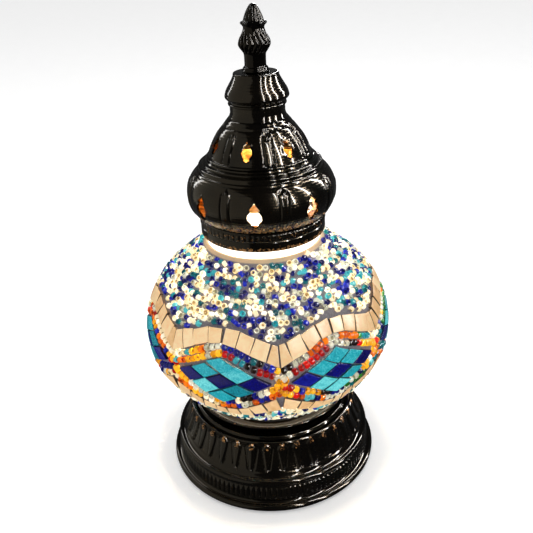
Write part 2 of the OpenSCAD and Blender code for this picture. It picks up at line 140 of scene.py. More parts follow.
def joined(parts):
    """One (points, faces, wear) from several, with the faces renumbered."""
    points, faces, wear, start = [], [], [], 0
    for p, f, w in parts:
        points.append(p)
        faces.append(f + start)
        wear.append(np.broadcast_to(w, len(p)))
        start += len(p)
    return np.concatenate(points), np.concatenate(faces), np.concatenate(wear)


def mesh_piece(name, points, faces, materials, body, replaces=(), attributes=None, merge=True,
               face_material=None, sharp=35.0):
    """A smooth-shaded mesh object at the origin that rides on a body and stands for its CAD nodes."""
    mesh = bpy.data.meshes.new(name)
    mesh.from_pydata(points.astype(float), [], faces)
    for key, values in (attributes or {}).items():
        layer = mesh.attributes.new(key, "FLOAT", "POINT")
        spread = np.broadcast_to(values, len(points))
        layer.data.foreach_set("value", np.ascontiguousarray(spread, dtype=np.float32))
    for material in materials:
        mesh.materials.append(material)
    if face_material is not None:
        mesh.polygons.foreach_set("material_index", np.ascontiguousarray(face_material, dtype=np.int32))
    piece = bpy.data.objects.new(name, mesh)
    bpy.context.scene.collection.objects.link(piece)
    if merge:
        weld(mesh)
    mesh.shade_smooth()
    mesh.set_sharp_from_angle(angle=math.radians(sharp))
    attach(piece, body)
    if replaces:
        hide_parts(*replaces)
    return piece


def weld(mesh):
    """Joins points closer than a micrometre and drops the faces that vanish."""
    work = bmesh.new()
    work.from_mesh(mesh)
    bmesh.ops.remove_doubles(work, verts=work.verts, dist=1e-6)
    bmesh.ops.dissolve_degenerate(work, edges=work.edges, dist=1e-7)
    work.to_mesh(mesh)
    work.free()


def curve_through(points, count):
    """Smooth curve through knots: from p1 to p2 it leaves along (p2 - p0)/2, arrives along (p3 - p1)/2."""
    p = np.asarray(points, float)
    p = np.vstack([2 * p[0] - p[1], p, 2 * p[-1] - p[-2]])
    t = np.linspace(0, len(points) - 1 - 1e-9, count)
    k = t.astype(int)
    u = (t - k)[:, None]
    a, b, c, d = p[k], p[k + 1], p[k + 2], p[k + 3]
    return 0.5 * (2 * b + (c - a) * u + (2 * a - 5 * b + 4 * c - d) * u ** 2
                  + (3 * b - a - 3 * c + d) * u ** 3)


def arc(centre, radius, start, end, count):
    """Circle centre + radius (cos t, sin t), t from start to end in degrees."""
    t = np.radians(np.linspace(start, end, count))
    return np.stack([centre[0] + radius * np.cos(t), centre[1] + radius * np.sin(t)], axis=1)


def outline_normals(outline):
    """Outward normals of an outline that runs upwards on its right side: its tangent turned -90 degrees."""
    tangent = np.gradient(outline, axis=0)
    tangent /= np.maximum(np.linalg.norm(tangent, axis=1, keepdims=True), 1e-12)
    return np.stack([tangent[:, 1], -tangent[:, 0]], axis=1)


def turned(outline, columns, relief=None, wear=0.0):
    """Surface of revolution (r sin a, -r cos a, z) of an outline in millimetres, pushed along the outline's
    normal by relief(a, r, z)."""
    outline = np.asarray(outline, float)
    a = np.arange(columns) * TAU / columns
    r = np.repeat(outline[:, :1], columns, axis=1)
    z = np.repeat(outline[:, 1:], columns, axis=1)
    if relief is not None:
        normal = outline_normals(outline)
        push = relief(a[None, :], r, z)
        r = r + push * normal[:, :1]
        z = z + push * normal[:, 1:]
    points = np.stack([r * np.sin(a), -r * np.cos(a), z], axis=-1).reshape(-1, 3) * MM
    worn = wear(a[None, :] + 0 * r, r, z).reshape(-1) if callable(wear) else wear
    return points, grid_faces(len(outline), columns), worn


def smooth(x, low, high):
    """Smoothstep: 0 below low, 1 above high, 3t^2 - 2t^3 between."""
    t = np.clip((x - low) / (high - low), 0, 1)
    return t * t * (3 - 2 * t)


def across(a, count):
    """|2 frac(count a / 2 pi) - 1|: 0 amid each repeat round the axis and 1 on the lines between them."""
    return np.abs(2 * (a * count / TAU % 1) - 1)


# ---- materials -------------------------------------------------------------------------------------


def add_node(tree, kind, settings=None, values=None, links=None):
    """Adds a node with its attributes, its input values and its input links."""
    node = tree.nodes.new(kind)
    for key, value in (settings or {}).items():
        setattr(node, key, value)
    for key, value in (values or {}).items():
        node.inputs[key].default_value = value
    for key, (source, output) in (links or {}).items():
        tree.links.new(source.outputs[output], node.inputs[key])
    return node


def set_stops(ramp, stops):
    """Puts (place, hex colour) stops on a colour ramp."""
    elements = ramp.color_ramp.elements
    while len(elements) < len(stops):
        elements.new(1.0)
    for element, (place, code) in zip(elements, stops):
        element.position = place
        element.color = linear(code)


def new_material(name):
    """A material with an empty tree, its output and its object coordinates."""
    material = bpy.data.materials.new(name)
    material.use_nodes = True
    tree = material.node_tree
    tree.nodes.clear()
    output = add_node(tree, "ShaderNodeOutputMaterial")
    place = add_node(tree, "ShaderNodeTexCoord")
    return material, tree, output, place


def patinated_brass(name, metal, lacquer=0.5, grain=0.28, shades=("#16120d", "#2b2419")):
    """Spun or cast brass under a black-brown patina and clear lacquer. To the eye it is nearly black, with
    wet highlights and edges rubbed through to the brass."""
    material, tree, output, place = new_material(name)
    # Clouds 18 mm across in the patina, and flecks of 1.6 mm where it is rubbed through to the brass
    clouds = add_node(tree, "ShaderNodeTexNoise",
                      values={"Scale": 1 / (18 * MM), "Detail": 5.0, "Roughness": 0.6},
                      links={"Vector": (place, "Object")})
    specks = add_node(tree, "ShaderNodeTexNoise",
                      values={"Scale": 1 / (1.6 * MM), "Detail": 4.0, "Roughness": 0.7},
                      links={"Vector": (place, "Object")})
    body = add_node(tree, "ShaderNodeValToRGB", links={"Fac": (clouds, "Fac")})
    set_stops(body, [(0.3, shades[0]), (0.72, shades[1])])
    wear = add_node(tree, "ShaderNodeAttribute", {"attribute_name": "wear"})
    reach = add_node(tree, "ShaderNodeMath", {"operation": "ADD"},
                     links={0: (specks, "Fac"), 1: (wear, "Fac")})
    rubbed = add_node(tree, "ShaderNodeMapRange", values={"From Min": 0.98, "From Max": 1.08},
                      links={"Value": (reach, "Value")})
    colour = add_node(tree, "ShaderNodeMix", {"data_type": "RGBA"},
                      links={0: (rubbed, "Result"), 6: (body, "Color")})
    colour.inputs[7].default_value = (*metal.worn, 1.0)
    # Lathe rings 1.5 mm apart, coarser than the real 0.3 mm so that they show. A wave of scale 1 repeats
    # every 0.314
    rings = add_node(tree, "ShaderNodeTexWave", {"wave_type": "BANDS", "bands_direction": "Z"},
                     {"Scale": 0.314 / (1.5 * MM), "Distortion": 1.5, "Detail": 2.0, "Detail Scale": 1.5},
                     {"Vector": (place, "Object")})
    rough = add_node(tree, "ShaderNodeMapRange", values={"To Min": 0.05, "To Max": 0.2},
                     links={"Value": (clouds, "Fac")})
    relief = add_node(tree, "ShaderNodeMath", {"operation": "MULTIPLY_ADD"}, {1: 0.5},
                      {0: (specks, "Fac"), 2: (rings, "Fac")})
    bump = add_node(tree, "ShaderNodeBump", values={"Strength": grain, "Distance": 0.2 * MM},
                    links={"Height": (relief, "Value")})
    # Where the patina is rubbed off the brass is dull and scratched, so it shows its own colour
    dull = add_node(tree, "ShaderNodeMapRange", values={"To Min": 0.9, "To Max": 0.3},
                    links={"Value": (rubbed, "Result")})
    scuffed = add_node(tree, "ShaderNodeMath", {"operation": "MULTIPLY_ADD"}, {1: 0.35},
                       {0: (rubbed, "Result"), 2: (rough, "Result")})
    shader = add_node(tree, "ShaderNodeBsdfPrincipled",
                      values={"Coat Weight": lacquer, "Coat Roughness": 0.03},
                      links={"Base Color": (colour, "Result"), "Roughness": (scuffed, "Value"),
                             "Metallic": (dull, "Result"), "Normal": (bump, "Normal")})
    tree.links.new(shader.outputs[0], output.inputs["Surface"])
    return material


def raw_brass(name):
    """Bare spun brass on the inside of the cap: warm yellow, half matt from handling and heat."""
    material, tree, output, place = new_material(name)
    stain = add_node(tree, "ShaderNodeTexNoise", values={"Scale": 1 / (4 * MM), "Detail": 6.0},
                     links={"Vector": (place, "Object")})
    colour = add_node(tree, "ShaderNodeValToRGB", links={"Fac": (stain, "Fac")})
    set_stops(colour, [(0.32, "#7a4a18"), (0.5, "#c88a30"), (0.7, "#ffd88c")])
    shader = add_node(tree, "ShaderNodeBsdfPrincipled", values={"Metallic": 0.75, "Roughness": 0.42},
                      links={"Base Color": (colour, "Color")})
    tree.links.new(shader.outputs[0], output.inputs["Surface"])
    return material


def glass_with_painted_glow(name, stops, grain, glow, rough, clear, veil=0.0, bumps=0.1):
    """Coloured glass with a painted glow that stands in for the bulb's light through it. The glow falls as
    (80 mm / distance from the bulb)^1.5.
    """
    material, tree, output, place = new_material(name)
    streaks = add_node(tree, "ShaderNodeTexNoise",
                       values={"Scale": 1 / grain, "Detail": 4.0, "Roughness": 0.6, "Distortion": veil},
                       links={"Vector": (place, "Object")})
    tone_and_shade = add_node(tree, "ShaderNodeAttribute", {"attribute_name": "tone_and_shade"})
    mixed = add_node(tree, "ShaderNodeMath", {"operation": "MULTIPLY_ADD"}, {1: 0.55},
                     {0: (tone_and_shade, "Fac"), 2: (streaks, "Fac")})
    lowered = add_node(tree, "ShaderNodeMath", {"operation": "SUBTRACT"}, {1: 0.27}, {0: (mixed, "Value")})
    colour = add_node(tree, "ShaderNodeValToRGB", links={"Fac": (lowered, "Value")})
    set_stops(colour, stops)
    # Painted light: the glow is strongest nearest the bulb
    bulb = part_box("bulb_filaments")
    middle = [(bulb[0][i] + bulb[1][i]) / 2 for i in range(3)]
    away = add_node(tree, "ShaderNodeVectorMath", {"operation": "DISTANCE"}, {1: middle},
                    {0: (place, "Object")})
    near = add_node(tree, "ShaderNodeMath", {"operation": "DIVIDE"}, {0: 80 * MM}, {1: (away, "Value")})
    fall = add_node(tree, "ShaderNodeMath", {"operation": "POWER"}, {1: 1.5}, {0: (near, "Value")})
    level = add_node(tree, "ShaderNodeMath", {"operation": "MULTIPLY"}, {1: glow}, {0: (fall, "Value")})
    bump = add_node(tree, "ShaderNodeBump", values={"Strength": bumps, "Distance": 0.3 * MM},
                    links={"Height": (streaks, "Fac")})
    shader = add_node(tree, "ShaderNodeBsdfPrincipled",
                      values={"Roughness": rough, "IOR": 1.5, "Transmission Weight": clear},
                      links={"Base Color": (colour, "Color"), "Emission Color": (colour, "Color"),
                             "Emission Strength": (level, "Value"), "Normal": (bump, "Normal")})
    tree.links.new(shader.outputs[0], output.inputs["Surface"])
    return material


def speckled(name, stops, grain, rough, metallic=0.0, bumps=0.1, glow=0.0):
    """A plain finish whose colour wanders between its stops over a grain size, with a bump to match."""
    material, tree, output, place = new_material(name)
    noise = add_node(tree, "ShaderNodeTexNoise",
                     values={"Scale": 1 / grain, "Detail": 5.0, "Roughness": 0.6},
                     links={"Vector": (place, "Object")})
    colour = add_node(tree, "ShaderNodeValToRGB", links={"Fac": (noise, "Fac")})
    set_stops(colour, stops)
    bump = add_node(tree, "ShaderNodeBump", values={"Strength": bumps, "Distance": 0.2 * MM},
                    links={"Height": (noise, "Fac")})
    shader = add_node(tree, "ShaderNodeBsdfPrincipled",
                      values={"Roughness": rough, "Metallic": metallic},
                      links={"Base Color": (colour, "Color"), "Normal": (bump, "Normal")})
    if glow:
        tree.links.new(colour.outputs["Color"], shader.inputs["Emission Color"])
        shader.inputs["Emission Strength"].default_value = glow
    tree.links.new(shader.outputs[0], output.inputs["Surface"])
    return material


def tile_grout(name):
    """Plaster grout wiped between the pieces: grey and sandy, smoothed to a cream ring under the neck."""
    material, tree, output, place = new_material(name)
    sand = add_node(tree, "ShaderNodeTexNoise",
                    values={"Scale": 1 / (0.9 * MM), "Detail": 5.0, "Roughness": 0.7},
                    links={"Vector": (place, "Object")})
    grey = add_node(tree, "ShaderNodeValToRGB", links={"Fac": (sand, "Fac")})
    set_stops(grey, [(0.3, "#5f5a62"), (0.7, "#8d8890")])
    split = add_node(tree, "ShaderNodeSeparateXYZ", links={"Vector": (place, "Object")})
    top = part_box("grout")[1][2]
    ring = add_node(tree, "ShaderNodeMapRange",
                    values={"From Min": top - 2.2 * MM, "From Max": top - 1.5 * MM},
                    links={"Value": (split, "Z")})
    colour = add_node(tree, "ShaderNodeMix", {"data_type": "RGBA"},
                      links={0: (ring, "Result"), 6: (grey, "Color")})
    colour.inputs[7].default_value = linear("#d8bd98")
    bump = add_node(tree, "ShaderNodeBump", values={"Strength": 0.7, "Distance": 0.3 * MM},
                    links={"Height": (sand, "Fac")})
    # A faint painted glow stands in for the bulb's light through the grout
    shader = add_node(tree, "ShaderNodeBsdfPrincipled",
                      values={"Roughness": 0.9, "Emission Strength": 0.08},
                      links={"Base Color": (colour, "Result"), "Emission Color": (colour, "Result"),
                             "Normal": (bump, "Normal")})
    tree.links.new(shader.outputs[0], output.inputs["Surface"])
    return material


def dress(nodes, material):
    """Gives CAD nodes a material in place of their plain one."""
    for name in nodes:
        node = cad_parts[name]
        for place in node.material_slots:
            place.material = material
        if not node.material_slots:
            node.data.materials.append(material)


# ---- the globe's surface ---------------------------------------------------------------------------

# Millimetres above the widest circle: where the upper ellipse gives way to the flare, and the mosaic's top
FLARE_LOW, FLARE_TOP = 50.0, 63.5
# Millimetres from the mosaic's face in to the grout
GROUT_DEPTH = 2.3


def globe_outline(g):
    """Mosaic face as (r, z) in millimetres: an ellipse below the middle, one above it, then a flare to the
    neck, r = neck + 0.277 (top - z)^1.5."""
    rad, rise, drop, mid, neck = (v / MM for v in (g.rad, g.rise, g.drop, g.mid, g.neck))
    low = np.radians(np.linspace(-62, 0, 70, endpoint=False))
    high = np.arcsin(np.linspace(0, FLARE_LOW, 80, endpoint=False) / rise)
    flare = np.linspace(mid + FLARE_LOW, mid + FLARE_TOP, 28)
    parts = [np.stack([rad * np.cos(low), mid + drop * np.sin(low)], 1),
             np.stack([rad * np.cos(high), mid + rise * np.sin(high)], 1),
             np.stack([neck + 0.277 * (mid + FLARE_TOP - flare) ** 1.5, flare], 1)]
    return np.concatenate(parts)


def on_globe(g, lon, z, off):
    """Points lying `off` millimetres inside the mosaic face along its normal, with that normal and east."""
    outline = globe_outline(g)
    normal = outline_normals(outline)
    r = np.interp(z, outline[:, 1], outline[:, 0])
    nr = np.interp(z, outline[:, 1], normal[:, 0])
    nz = np.interp(z, outline[:, 1], normal[:, 1])
    rr, zz = r - off * nr, z - off * nz
    point = np.stack([rr * np.sin(lon), -rr * np.cos(lon), zz], axis=-1)
    out = np.stack([nr * np.sin(lon), -nr * np.cos(lon), nz], axis=-1)
    east = np.stack([np.cos(lon), np.sin(lon), 0 * lon], axis=-1)
    return point, out, east


def wave(g, lon):
    """0 in the gaps between medallions, 1 over their middles, straight between."""
    f = (lon - g.turn) * g.medallions / TAU
    return 1 - np.abs(2 * (f - np.floor(f)) - 1)


def rounded(w, k=0.36):
    """The wave with its crests rounded: above 1 - k it becomes 1 - k/2 - (1 - w)^2 / (2k)."""
    return np.where(w < 1 - k, w, 1 - k / 2 - (1 - w) ** 2 / (2 * k))


def zone_edges(g, lon):
    """Heights in millimetres of the mosaic's zigzag lines at a longitude, from the lowest up."""
    w = wave(g, lon)
    mid, half, border, cream = (v / MM for v in (g.field_mid, g.field_half, g.border, g.cream))
    field_top, field_low = mid + half * w, mid - half * w
    reach = half * rounded(w) + border + 0.8
    cream_low, lower_top = mid + reach, mid - reach
    cream_top = cream_low + cream * (1 + 0.62 * (1 - w))
    lower_low = lower_top - cream * (0.9 + 0.5 * (1 - w))
    return {"lower_low": lower_low, "lower_top": lower_top, "field_low": field_low, "field_top": field_top,
            "cream_low": cream_low, "cream_top": cream_top}


# ---- beads -----------------------------------------------------------------------------------------


def bead_shape(around=8):
    """Barrel bead, outer radius 1: a hexagonal section, straight at the bore and the belly and bevelled
    between, turned round the bead's axis."""
    section = np.array([[0.40, -0.52], [0.76, -0.70], [1.0, -0.38],
                        [1.0, 0.38], [0.76, 0.70], [0.40, 0.52]])
    u = np.arange(around) * TAU / around
    r, z = section[:, :1], section[:, 1:]
    points = np.stack([r * np.cos(u), r * np.sin(u), z + 0 * u[None, :]], axis=-1)
    return points.reshape(-1, 3), grid_faces(len(section), around, close_rows=True)


def bead_cloud(g, rng, lon, z, facing, scale=1.0, along=None):
    """Beads at (lon, z): a share `facing` shows its bore and the rest lie on their sides. With `along`, the
    angle of a strung row on the surface, their axes follow the row. Returns points, faces and a tone that
    differs at random from bead to bead and is painted dark round the bore, as painted shade in the hole."""
    n = len(lon)
    shape, faces = bead_shape()
    size = g.bead / MM / 2 * scale * rng.uniform(0.86, 1.08, n)
    open_up = rng.random(n) < facing
    off = np.where(open_up, 1.35, 1.7) + rng.normal(0, 0.16, n)
    centre, out, east = on_globe(g, lon, z, off)
    north = np.cross(out, east)
    phi = rng.uniform(0, TAU, n) if along is None else along + rng.normal(0, 0.12, n)
    lean = np.where(open_up, rng.uniform(0.05, 0.5, n), 1.0)[:, None]
    rise = np.where(open_up, 1.0, rng.uniform(-0.15, 0.2, n))[:, None]
    axis = rise * out + lean * (np.cos(phi)[:, None] * east + np.sin(phi)[:, None] * north)
    axis /= np.linalg.norm(axis, axis=1, keepdims=True)
    side = np.cross(axis, np.where(np.abs(axis[:, 2:]) < 0.8, [[0, 0, 1.0]], [[1.0, 0, 0]]))
    side /= np.linalg.norm(side, axis=1, keepdims=True)
    third = np.cross(axis, side)
    basis = np.stack([side, third, axis], axis=1) * size[:, None, None]
    points = centre[:, None, :] + np.einsum("mk,nkj->nmj", shape, basis)
    all_faces = (faces[None] + (np.arange(n) * len(shape))[:, None, None]).reshape(-1, 4)
    # Painted shade: the points round the bore are darkened
    bore = np.repeat([-0.8, 0.0, 0.0, 0.0, 0.0, -0.8], len(shape) // 6)
    return points.reshape(-1, 3) * MM, all_faces, (rng.random((n, 1)) + bore).ravel()


def field_places(g, rng, low, high, edge_low, edge_high, pitch):
    """Longitudes and heights of beads packed in rows of equal slope distance between two edges."""
    outline = globe_outline(g)
    keep = (outline[:, 1] > low) & (outline[:, 1] < high)
    outline = outline[keep]
    step = np.r_[0, np.cumsum(np.hypot(*np.diff(outline, axis=0).T))]
    rows = int(step[-1] / (pitch * 0.93))
    lons, heights = [], []
    for k in range(rows + 1):
        s = step[-1] * k / rows
        r, z = np.interp(s, step, outline[:, 0]), np.interp(s, step, outline[:, 1])
        count = int(TAU * r / pitch)
        lon = (np.arange(count) + rng.random()) * TAU / count + rng.normal(0, 0.14, count) * pitch / r
        height = z + rng.normal(0, 0.45, count)
        fits = (height > edge_low(lon) + 1.3) & (height < edge_high(lon) - 1.3)
        lons.append(lon[fits])
        heights.append(height[fits])
    return np.concatenate(lons), np.concatenate(heights)


def border_places(g, rng, low_name, high_name, pitch):
    """Two rows of beads strung evenly along the zigzag, with the row's angle on the surface."""
    rows = []
    for share in (0.26, 0.75):
        lon = np.linspace(g.turn, g.turn + TAU, 3600)
        edges = zone_edges(g, lon)
        z = edges[low_name] + share * (edges[high_name] - edges[low_name])
        point, out, east = on_globe(g, lon, z, 0.0)
        step = np.gradient(point, axis=0)
        angle = np.arctan2((step * np.cross(out, east)).sum(1), (step * east).sum(1))
        run = np.r_[0, np.cumsum(np.linalg.norm(np.diff(point, axis=0), axis=1))]
        count = int(run[-1] / pitch)
        at = (np.arange(count) + 0.5) * run[-1] / count + rng.uniform(-0.2, 0.2, count)
        rows.append([np.interp(at, run, lon), np.interp(at, run, z) + rng.normal(0, 0.15, count),
                     np.interp(at, run, angle)])
    return [np.concatenate(column) for column in zip(*rows)]


def junction_places(g, rng):
    """Small clusters of beads in the gaps between the medallions' side corners."""
    gaps = g.turn + np.arange(g.medallions) * TAU / g.medallions
    side = np.array([-2.3, 2.2, -2.0, 2.4, 0.2])
    height = np.array([-2.1, -1.9, 2.2, 2.0, -5.2])
    lon = (gaps[:, None] + side * MM / g.rad + rng.normal(0, 0.004, (g.medallions, 5))).ravel()
    z = (g.field_mid / MM + height + rng.normal(0, 0.25, (g.medallions, 5))).ravel()
    return lon, z, rng.uniform(0, TAU, len(lon))


def runs_of(rng, count, shares, stay):
    """Picks a glass for each bead; it stays the last bead's with chance `stay`, as beads come in runs."""
    fresh = rng.choice(len(shares), count, p=shares / shares.sum())
    keep = rng.random(count) < stay
    keep[0] = False
    return fresh[np.maximum.accumulate(np.where(keep, 0, np.arange(count)))]


# Drawn and fire-polished glass has a wet, rounded face with one small highlight. For each glass: stops of
# its colour, painted glow for the bulb's light, roughness, clearness, share of the fields and of the
# borders.
BEAD_GLASS = {
    "white_opal": ([(0.05, "#8f7440"), (0.2, "#dcc592"), (0.5, "#ecdfbe"), (0.85, "#f8f5ea")],
                   0.46, 0.14, 0.15, 0.36, 0.07),
    "clear": ([(0.1, "#857f62"), (0.3, "#cdccb6"), (0.8, "#f4f3e6")], 0.3, 0.05, 0.6, 0.14, 0.13),
    "aqua": ([(0.2, "#1a8c98"), (0.8, "#62c8cc")], 0.27, 0.08, 0.5, 0.14, 0.08),
    "teal": ([(0.2, "#085661"), (0.8, "#188c92")], 0.2, 0.08, 0.5, 0.08, 0.05),
    "cobalt": ([(0.2, "#03063e"), (0.55, "#0a127c"), (0.85, "#2334c4")], 0.3, 0.08, 0.4, 0.28, 0.14),
    "orange": ([(0.1, "#8a2c04"), (0.3, "#cc5206"), (0.8, "#f58a14")], 0.36, 0.08, 0.4, 0.0, 0.13),
    "amber": ([(0.1, "#8a5204"), (0.3, "#d89208"), (0.8, "#fbc430")], 0.45, 0.08, 0.45, 0.0, 0.20),
    "red": ([(0.2, "#860705"), (0.8, "#dc160a")], 0.36, 0.08, 0.4, 0.0, 0.09),
    "green": ([(0.2, "#0a4a18"), (0.8, "#379c2a")], 0.25, 0.08, 0.4, 0.0, 0.06),
    "brown": ([(0.2, "#0c0504"), (0.8, "#2c0e08")], 0.08, 0.08, 0.3, 0.0, 0.05),
}


def lay_beads(g, rng, zone, places, facing, stay, scale, nodes):
    """One piece of beads for each glass at (longitudes, heights) or (longitudes, heights, row angles)."""
    lon, z = places[:2]
    along = places[2] if len(places) == 3 else None
    share_at = 4 if zone == "field" else 5
    glass = runs_of(rng, len(lon), np.array([row[share_at] for row in BEAD_GLASS.values()]), stay)
    for k, (name, (stops, glow, rough, clear, _, _)) in enumerate(BEAD_GLASS.items()):
        pick = glass == k
        if not pick.any():
            continue
        key = f"fire_polished_{name}_glass"
        material = bpy.data.materials.get(key) or glass_with_painted_glow(key, stops, 2 * MM, glow, rough, clear)
        rows = None if along is None else along[pick]
        points, faces, tone_and_shade = bead_cloud(g, rng, lon[pick], z[pick], facing, scale, rows)
        mesh_piece(f"{zone}_beads_{name}", points, faces, [material], "stand", nodes, {"tone_and_shade": tone_and_shade},
                   merge=False, sharp=80)


def build_beads(g):
    """Scatters the beads of the fields and strings those of the borders."""
    rng = np.random.default_rng(11)
    pitch = g.bead / MM * 0.98
    rise_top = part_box("crown_beads")[1][2] / MM
    foot_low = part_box("foot_beads")[0][2] / MM

    def level(height):
        return lambda lon: 0 * lon + height

    def edge(name):
        return lambda lon: zone_edges(g, lon)[name]

    # The rows start inside the cream bands, whose edges cut them off
    crown = field_places(g, rng, 118, rise_top + 1.4, edge("cream_top"), level(rise_top + 1.6), pitch)
    foot = field_places(g, rng, foot_low, 95, level(foot_low - 1.0), edge("lower_low"), pitch)
    strung = [border_places(g, rng, low, high, pitch * 1.03)
              for low, high in (("field_top", "cream_low"), ("lower_top", "field_low"))]
    strung.append(junction_places(g, rng))
    fields = [np.concatenate(column) for column in zip(crown, foot)]
    borders = [np.concatenate(column) for column in zip(*strung)]
    lay_beads(g, rng, "field", fields, 0.5, 0.12, 1.0, ("crown_beads", "foot_beads"))
    lay_beads(g, rng, "border", borders, 0.12, 0.45, 1.16, ("border_beads_upper", "border_beads_lower"))


# ---- tiles -----------------------------------------------------------------------------------------


def tile_cloud(g, rng, corners, joint):
    """Tiles through four (longitude, height) corners each: rings of the outline shrunk about the tile's
    middle, lifted from the grout to a flat face with a rounded edge, each tile a little askew. Their tone
    differs at random from tile to tile and is painted dark down their sides, as painted shade where the
    grout hides the light."""
    n, per_side, wobble = len(corners), 4, 0.3
    mid = corners.mean(axis=1, keepdims=True)
    shrunk = mid + (corners - mid) * (1 - joint)
    shrunk[..., 1] += rng.normal(0, wobble, (n, 4))
    shrunk[..., 0] += rng.normal(0, wobble, (n, 4)) / 75
    t = np.arange(per_side) / per_side
    edge = np.concatenate([shrunk[:, [k]] + (shrunk[:, [(k + 1) % 4]] - shrunk[:, [k]]) * t[None, :, None]
                           for k in range(4)], axis=1)
    shrink = np.array([0.0, 0.99, 1.0, 1.0, 0.985, 0.95, 0.9, 0.5, 0.0])
    height = np.array([0.0, 0.0, 0.15, 0.78, 0.93, 1.0, 1.01, 1.02, 1.02])
    lonz = mid[:, :, None] + (edge[:, None] - mid[:, :, None]) * shrink[None, :, None, None]
    lean = rng.normal(0, 0.2, (n, 1, 1, 2))
    local = (lonz - mid[:, :, None]) / np.maximum(np.abs(corners - mid).max(axis=1)[:, None, None], 1e-9)
    lift = GROUT_DEPTH * height[None, :, None] + (local * lean).sum(-1) * (height[None, :, None] > 0.5)
    point = on_globe(g, lonz[..., 0], lonz[..., 1], GROUT_DEPTH - lift)[0]
    rings, around = len(shrink), 4 * per_side
    faces = grid_faces(rings, around)
    faces = (faces[None] + (np.arange(n) * rings * around)[:, None, None]).reshape(-1, 4)
    # Painted shade: the tile's sides are darkened
    side = np.repeat(np.where(height < 0.9, -2.0, 0.0), around)
    return point.reshape(-1, 3) * MM, faces, (rng.random((n, 1)) + side).ravel()


def cream_corners(g, rng, low_name, high_name, per_leg=4):
    """Corners of the tiles that fill a zigzag band. Each is cut square to its leg: its upper corners move
    back by slope x height / (1 + slope^2), and apart where two legs meet, which leaves a wedge of grout."""
    legs = 2 * g.medallions
    share = (np.arange(per_leg + 1) / per_leg)[None, :] + rng.normal(0, 0.02, (legs, per_leg + 1))
    share[:, [0, -1]] = [0.0, 1.0]
    cuts = g.turn + (np.arange(legs)[:, None] + share) * TAU / legs
    rad = g.rad / MM
    # The slope of the lower line, taken over a hundredth of a radian that stays inside the leg
    inward = np.array([0.01] + [0.0] * (per_leg - 1) + [-0.01])
    ahead, behind = (zone_edges(g, cuts + inward + step)[low_name] for step in (0.005, -0.005))
    slope = (ahead - behind) / 0.01 / rad
    edges = zone_edges(g, cuts)
    shift = -slope * (edges[high_name] - edges[low_name]) / (1 + slope ** 2)
    shift[:, 0] = np.clip(shift[:, 0], 0.6, 2.2)
    shift[:, -1] = np.clip(shift[:, -1], -2.2, -0.6)
    top = cuts + shift / rad
    high = zone_edges(g, np.clip(top, cuts[:, :1], cuts[:, -1:]))[high_name]
    low_edge = np.stack([cuts, edges[low_name]], -1)
    high_edge = np.stack([top, high], -1)
    quads = [low_edge[:, :-1], low_edge[:, 1:], high_edge[:, 1:], high_edge[:, :-1]]
    return np.stack(quads, 2).reshape(-1, 4, 2)


def medallion_corners(g, cobalt):
    """Corners of the 3 x 3 rhombs of each medallion; the cobalt ones lie on its level diagonal."""
    half_a, half_z = g.field_turn / 3, g.field_half / MM / 3
    m, i, j = np.meshgrid(np.arange(g.medallions), [-1, 0, 1], [-1, 0, 1], indexing="ij")
    pick = (i == j) == cobalt
    a = (g.turn + TAU / g.medallions * (m + 0.5) + (i + j) * half_a)[pick]
    z = (g.field_mid / MM + (i - j) * half_z)[pick]
    return np.stack([np.stack([a - half_a, z], -1), np.stack([a, z - half_z], -1),
                     np.stack([a + half_a, z], -1), np.stack([a, z + half_z], -1)], axis=1)


def build_tiles(g):
    """Cream bands above and below, and the turquoise and cobalt medallions."""
    rng = np.random.default_rng(5)
    # Rolled opal glass is milky right through and half matt, with faint swirls
    cream = glass_with_painted_glow("rolled_cream_opal_glass",
                      [(0.03, "#2e231a"), (0.1, "#cf9f66"), (0.5, "#e6bf8c"), (0.85, "#f0d2a4")],
                      6 * MM, 0.26, 0.3, 0.0, veil=1.5)
    # Streaky glass is stirred in the ladle, so pale and dark bands run through its wavy face
    turquoise = glass_with_painted_glow("rolled_streaky_turquoise_glass",
                          [(0.03, "#022c34"), (0.12, "#0a6a7c"), (0.5, "#1ca6b4"), (0.85, "#76dee0")],
                          3.5 * MM, 0.42, 0.15, 0.3, veil=3.0, bumps=0.4)
    # Cathedral glass is one clear deep colour, nearly black where it is thick
    cobalt = glass_with_painted_glow("rolled_cobalt_cathedral_glass",
                       [(0.03, "#010114"), (0.2, "#040440"), (0.6, "#08086a"), (0.9, "#14209c")],
                       3 * MM, 0.4, 0.12, 0.3, veil=2.0, bumps=0.4)
    upper = cream_corners(g, rng, "cream_low", "cream_top")
    lower = cream_corners(g, rng, "lower_low", "lower_top")
    bands = [("cream_tiles_upper", upper, cream, "cream_glass", 0.09),
             ("cream_tiles_lower", lower, cream, "cream_glass", 0.09),
             ("turquoise_tiles", medallion_corners(g, False), turquoise, "turquoise_glass", 0.08),
             ("cobalt_tiles", medallion_corners(g, True), cobalt, "cobalt_glass", 0.08)]
    for name, corners, material, slot, joint in bands:
        points, faces, tone_and_shade = tile_cloud(g, rng, corners, joint)
        mesh_piece(name + "_mosaic", points, faces, [material], "stand", (name,), {"tone_and_shade": tone_and_shade},
                   sharp=50)


# ---- metalwork -------------------------------------------------------------------------------------

# Outlines here are (radius, height) in millimetres from the lamp's axis and foot. They run upwards along
# the outside and back down the inside. The inner_foot strips in the cap run outwards instead, so those two
# hidden floors face into the metal. Strips with different column counts meet at seams that aren't joined.
CAP_WALL = 1.1


def oval_ribs(count, low, high, depth, edge=4):
    """Relief of upright oval ribs between two heights: depth sqrt(1 - u^2) (1 - v^edge)^(1/2)."""
    def relief(a, r, z):
        u = across(a, count)
        v = np.clip((2 * z - low - high) / (high - low), -1, 1)
        along = np.sqrt(np.clip(1 - np.abs(v) ** edge, 0, 1))
        return depth * np.sqrt(np.clip(1 - u * u, 0, 1)) * along
    return relief


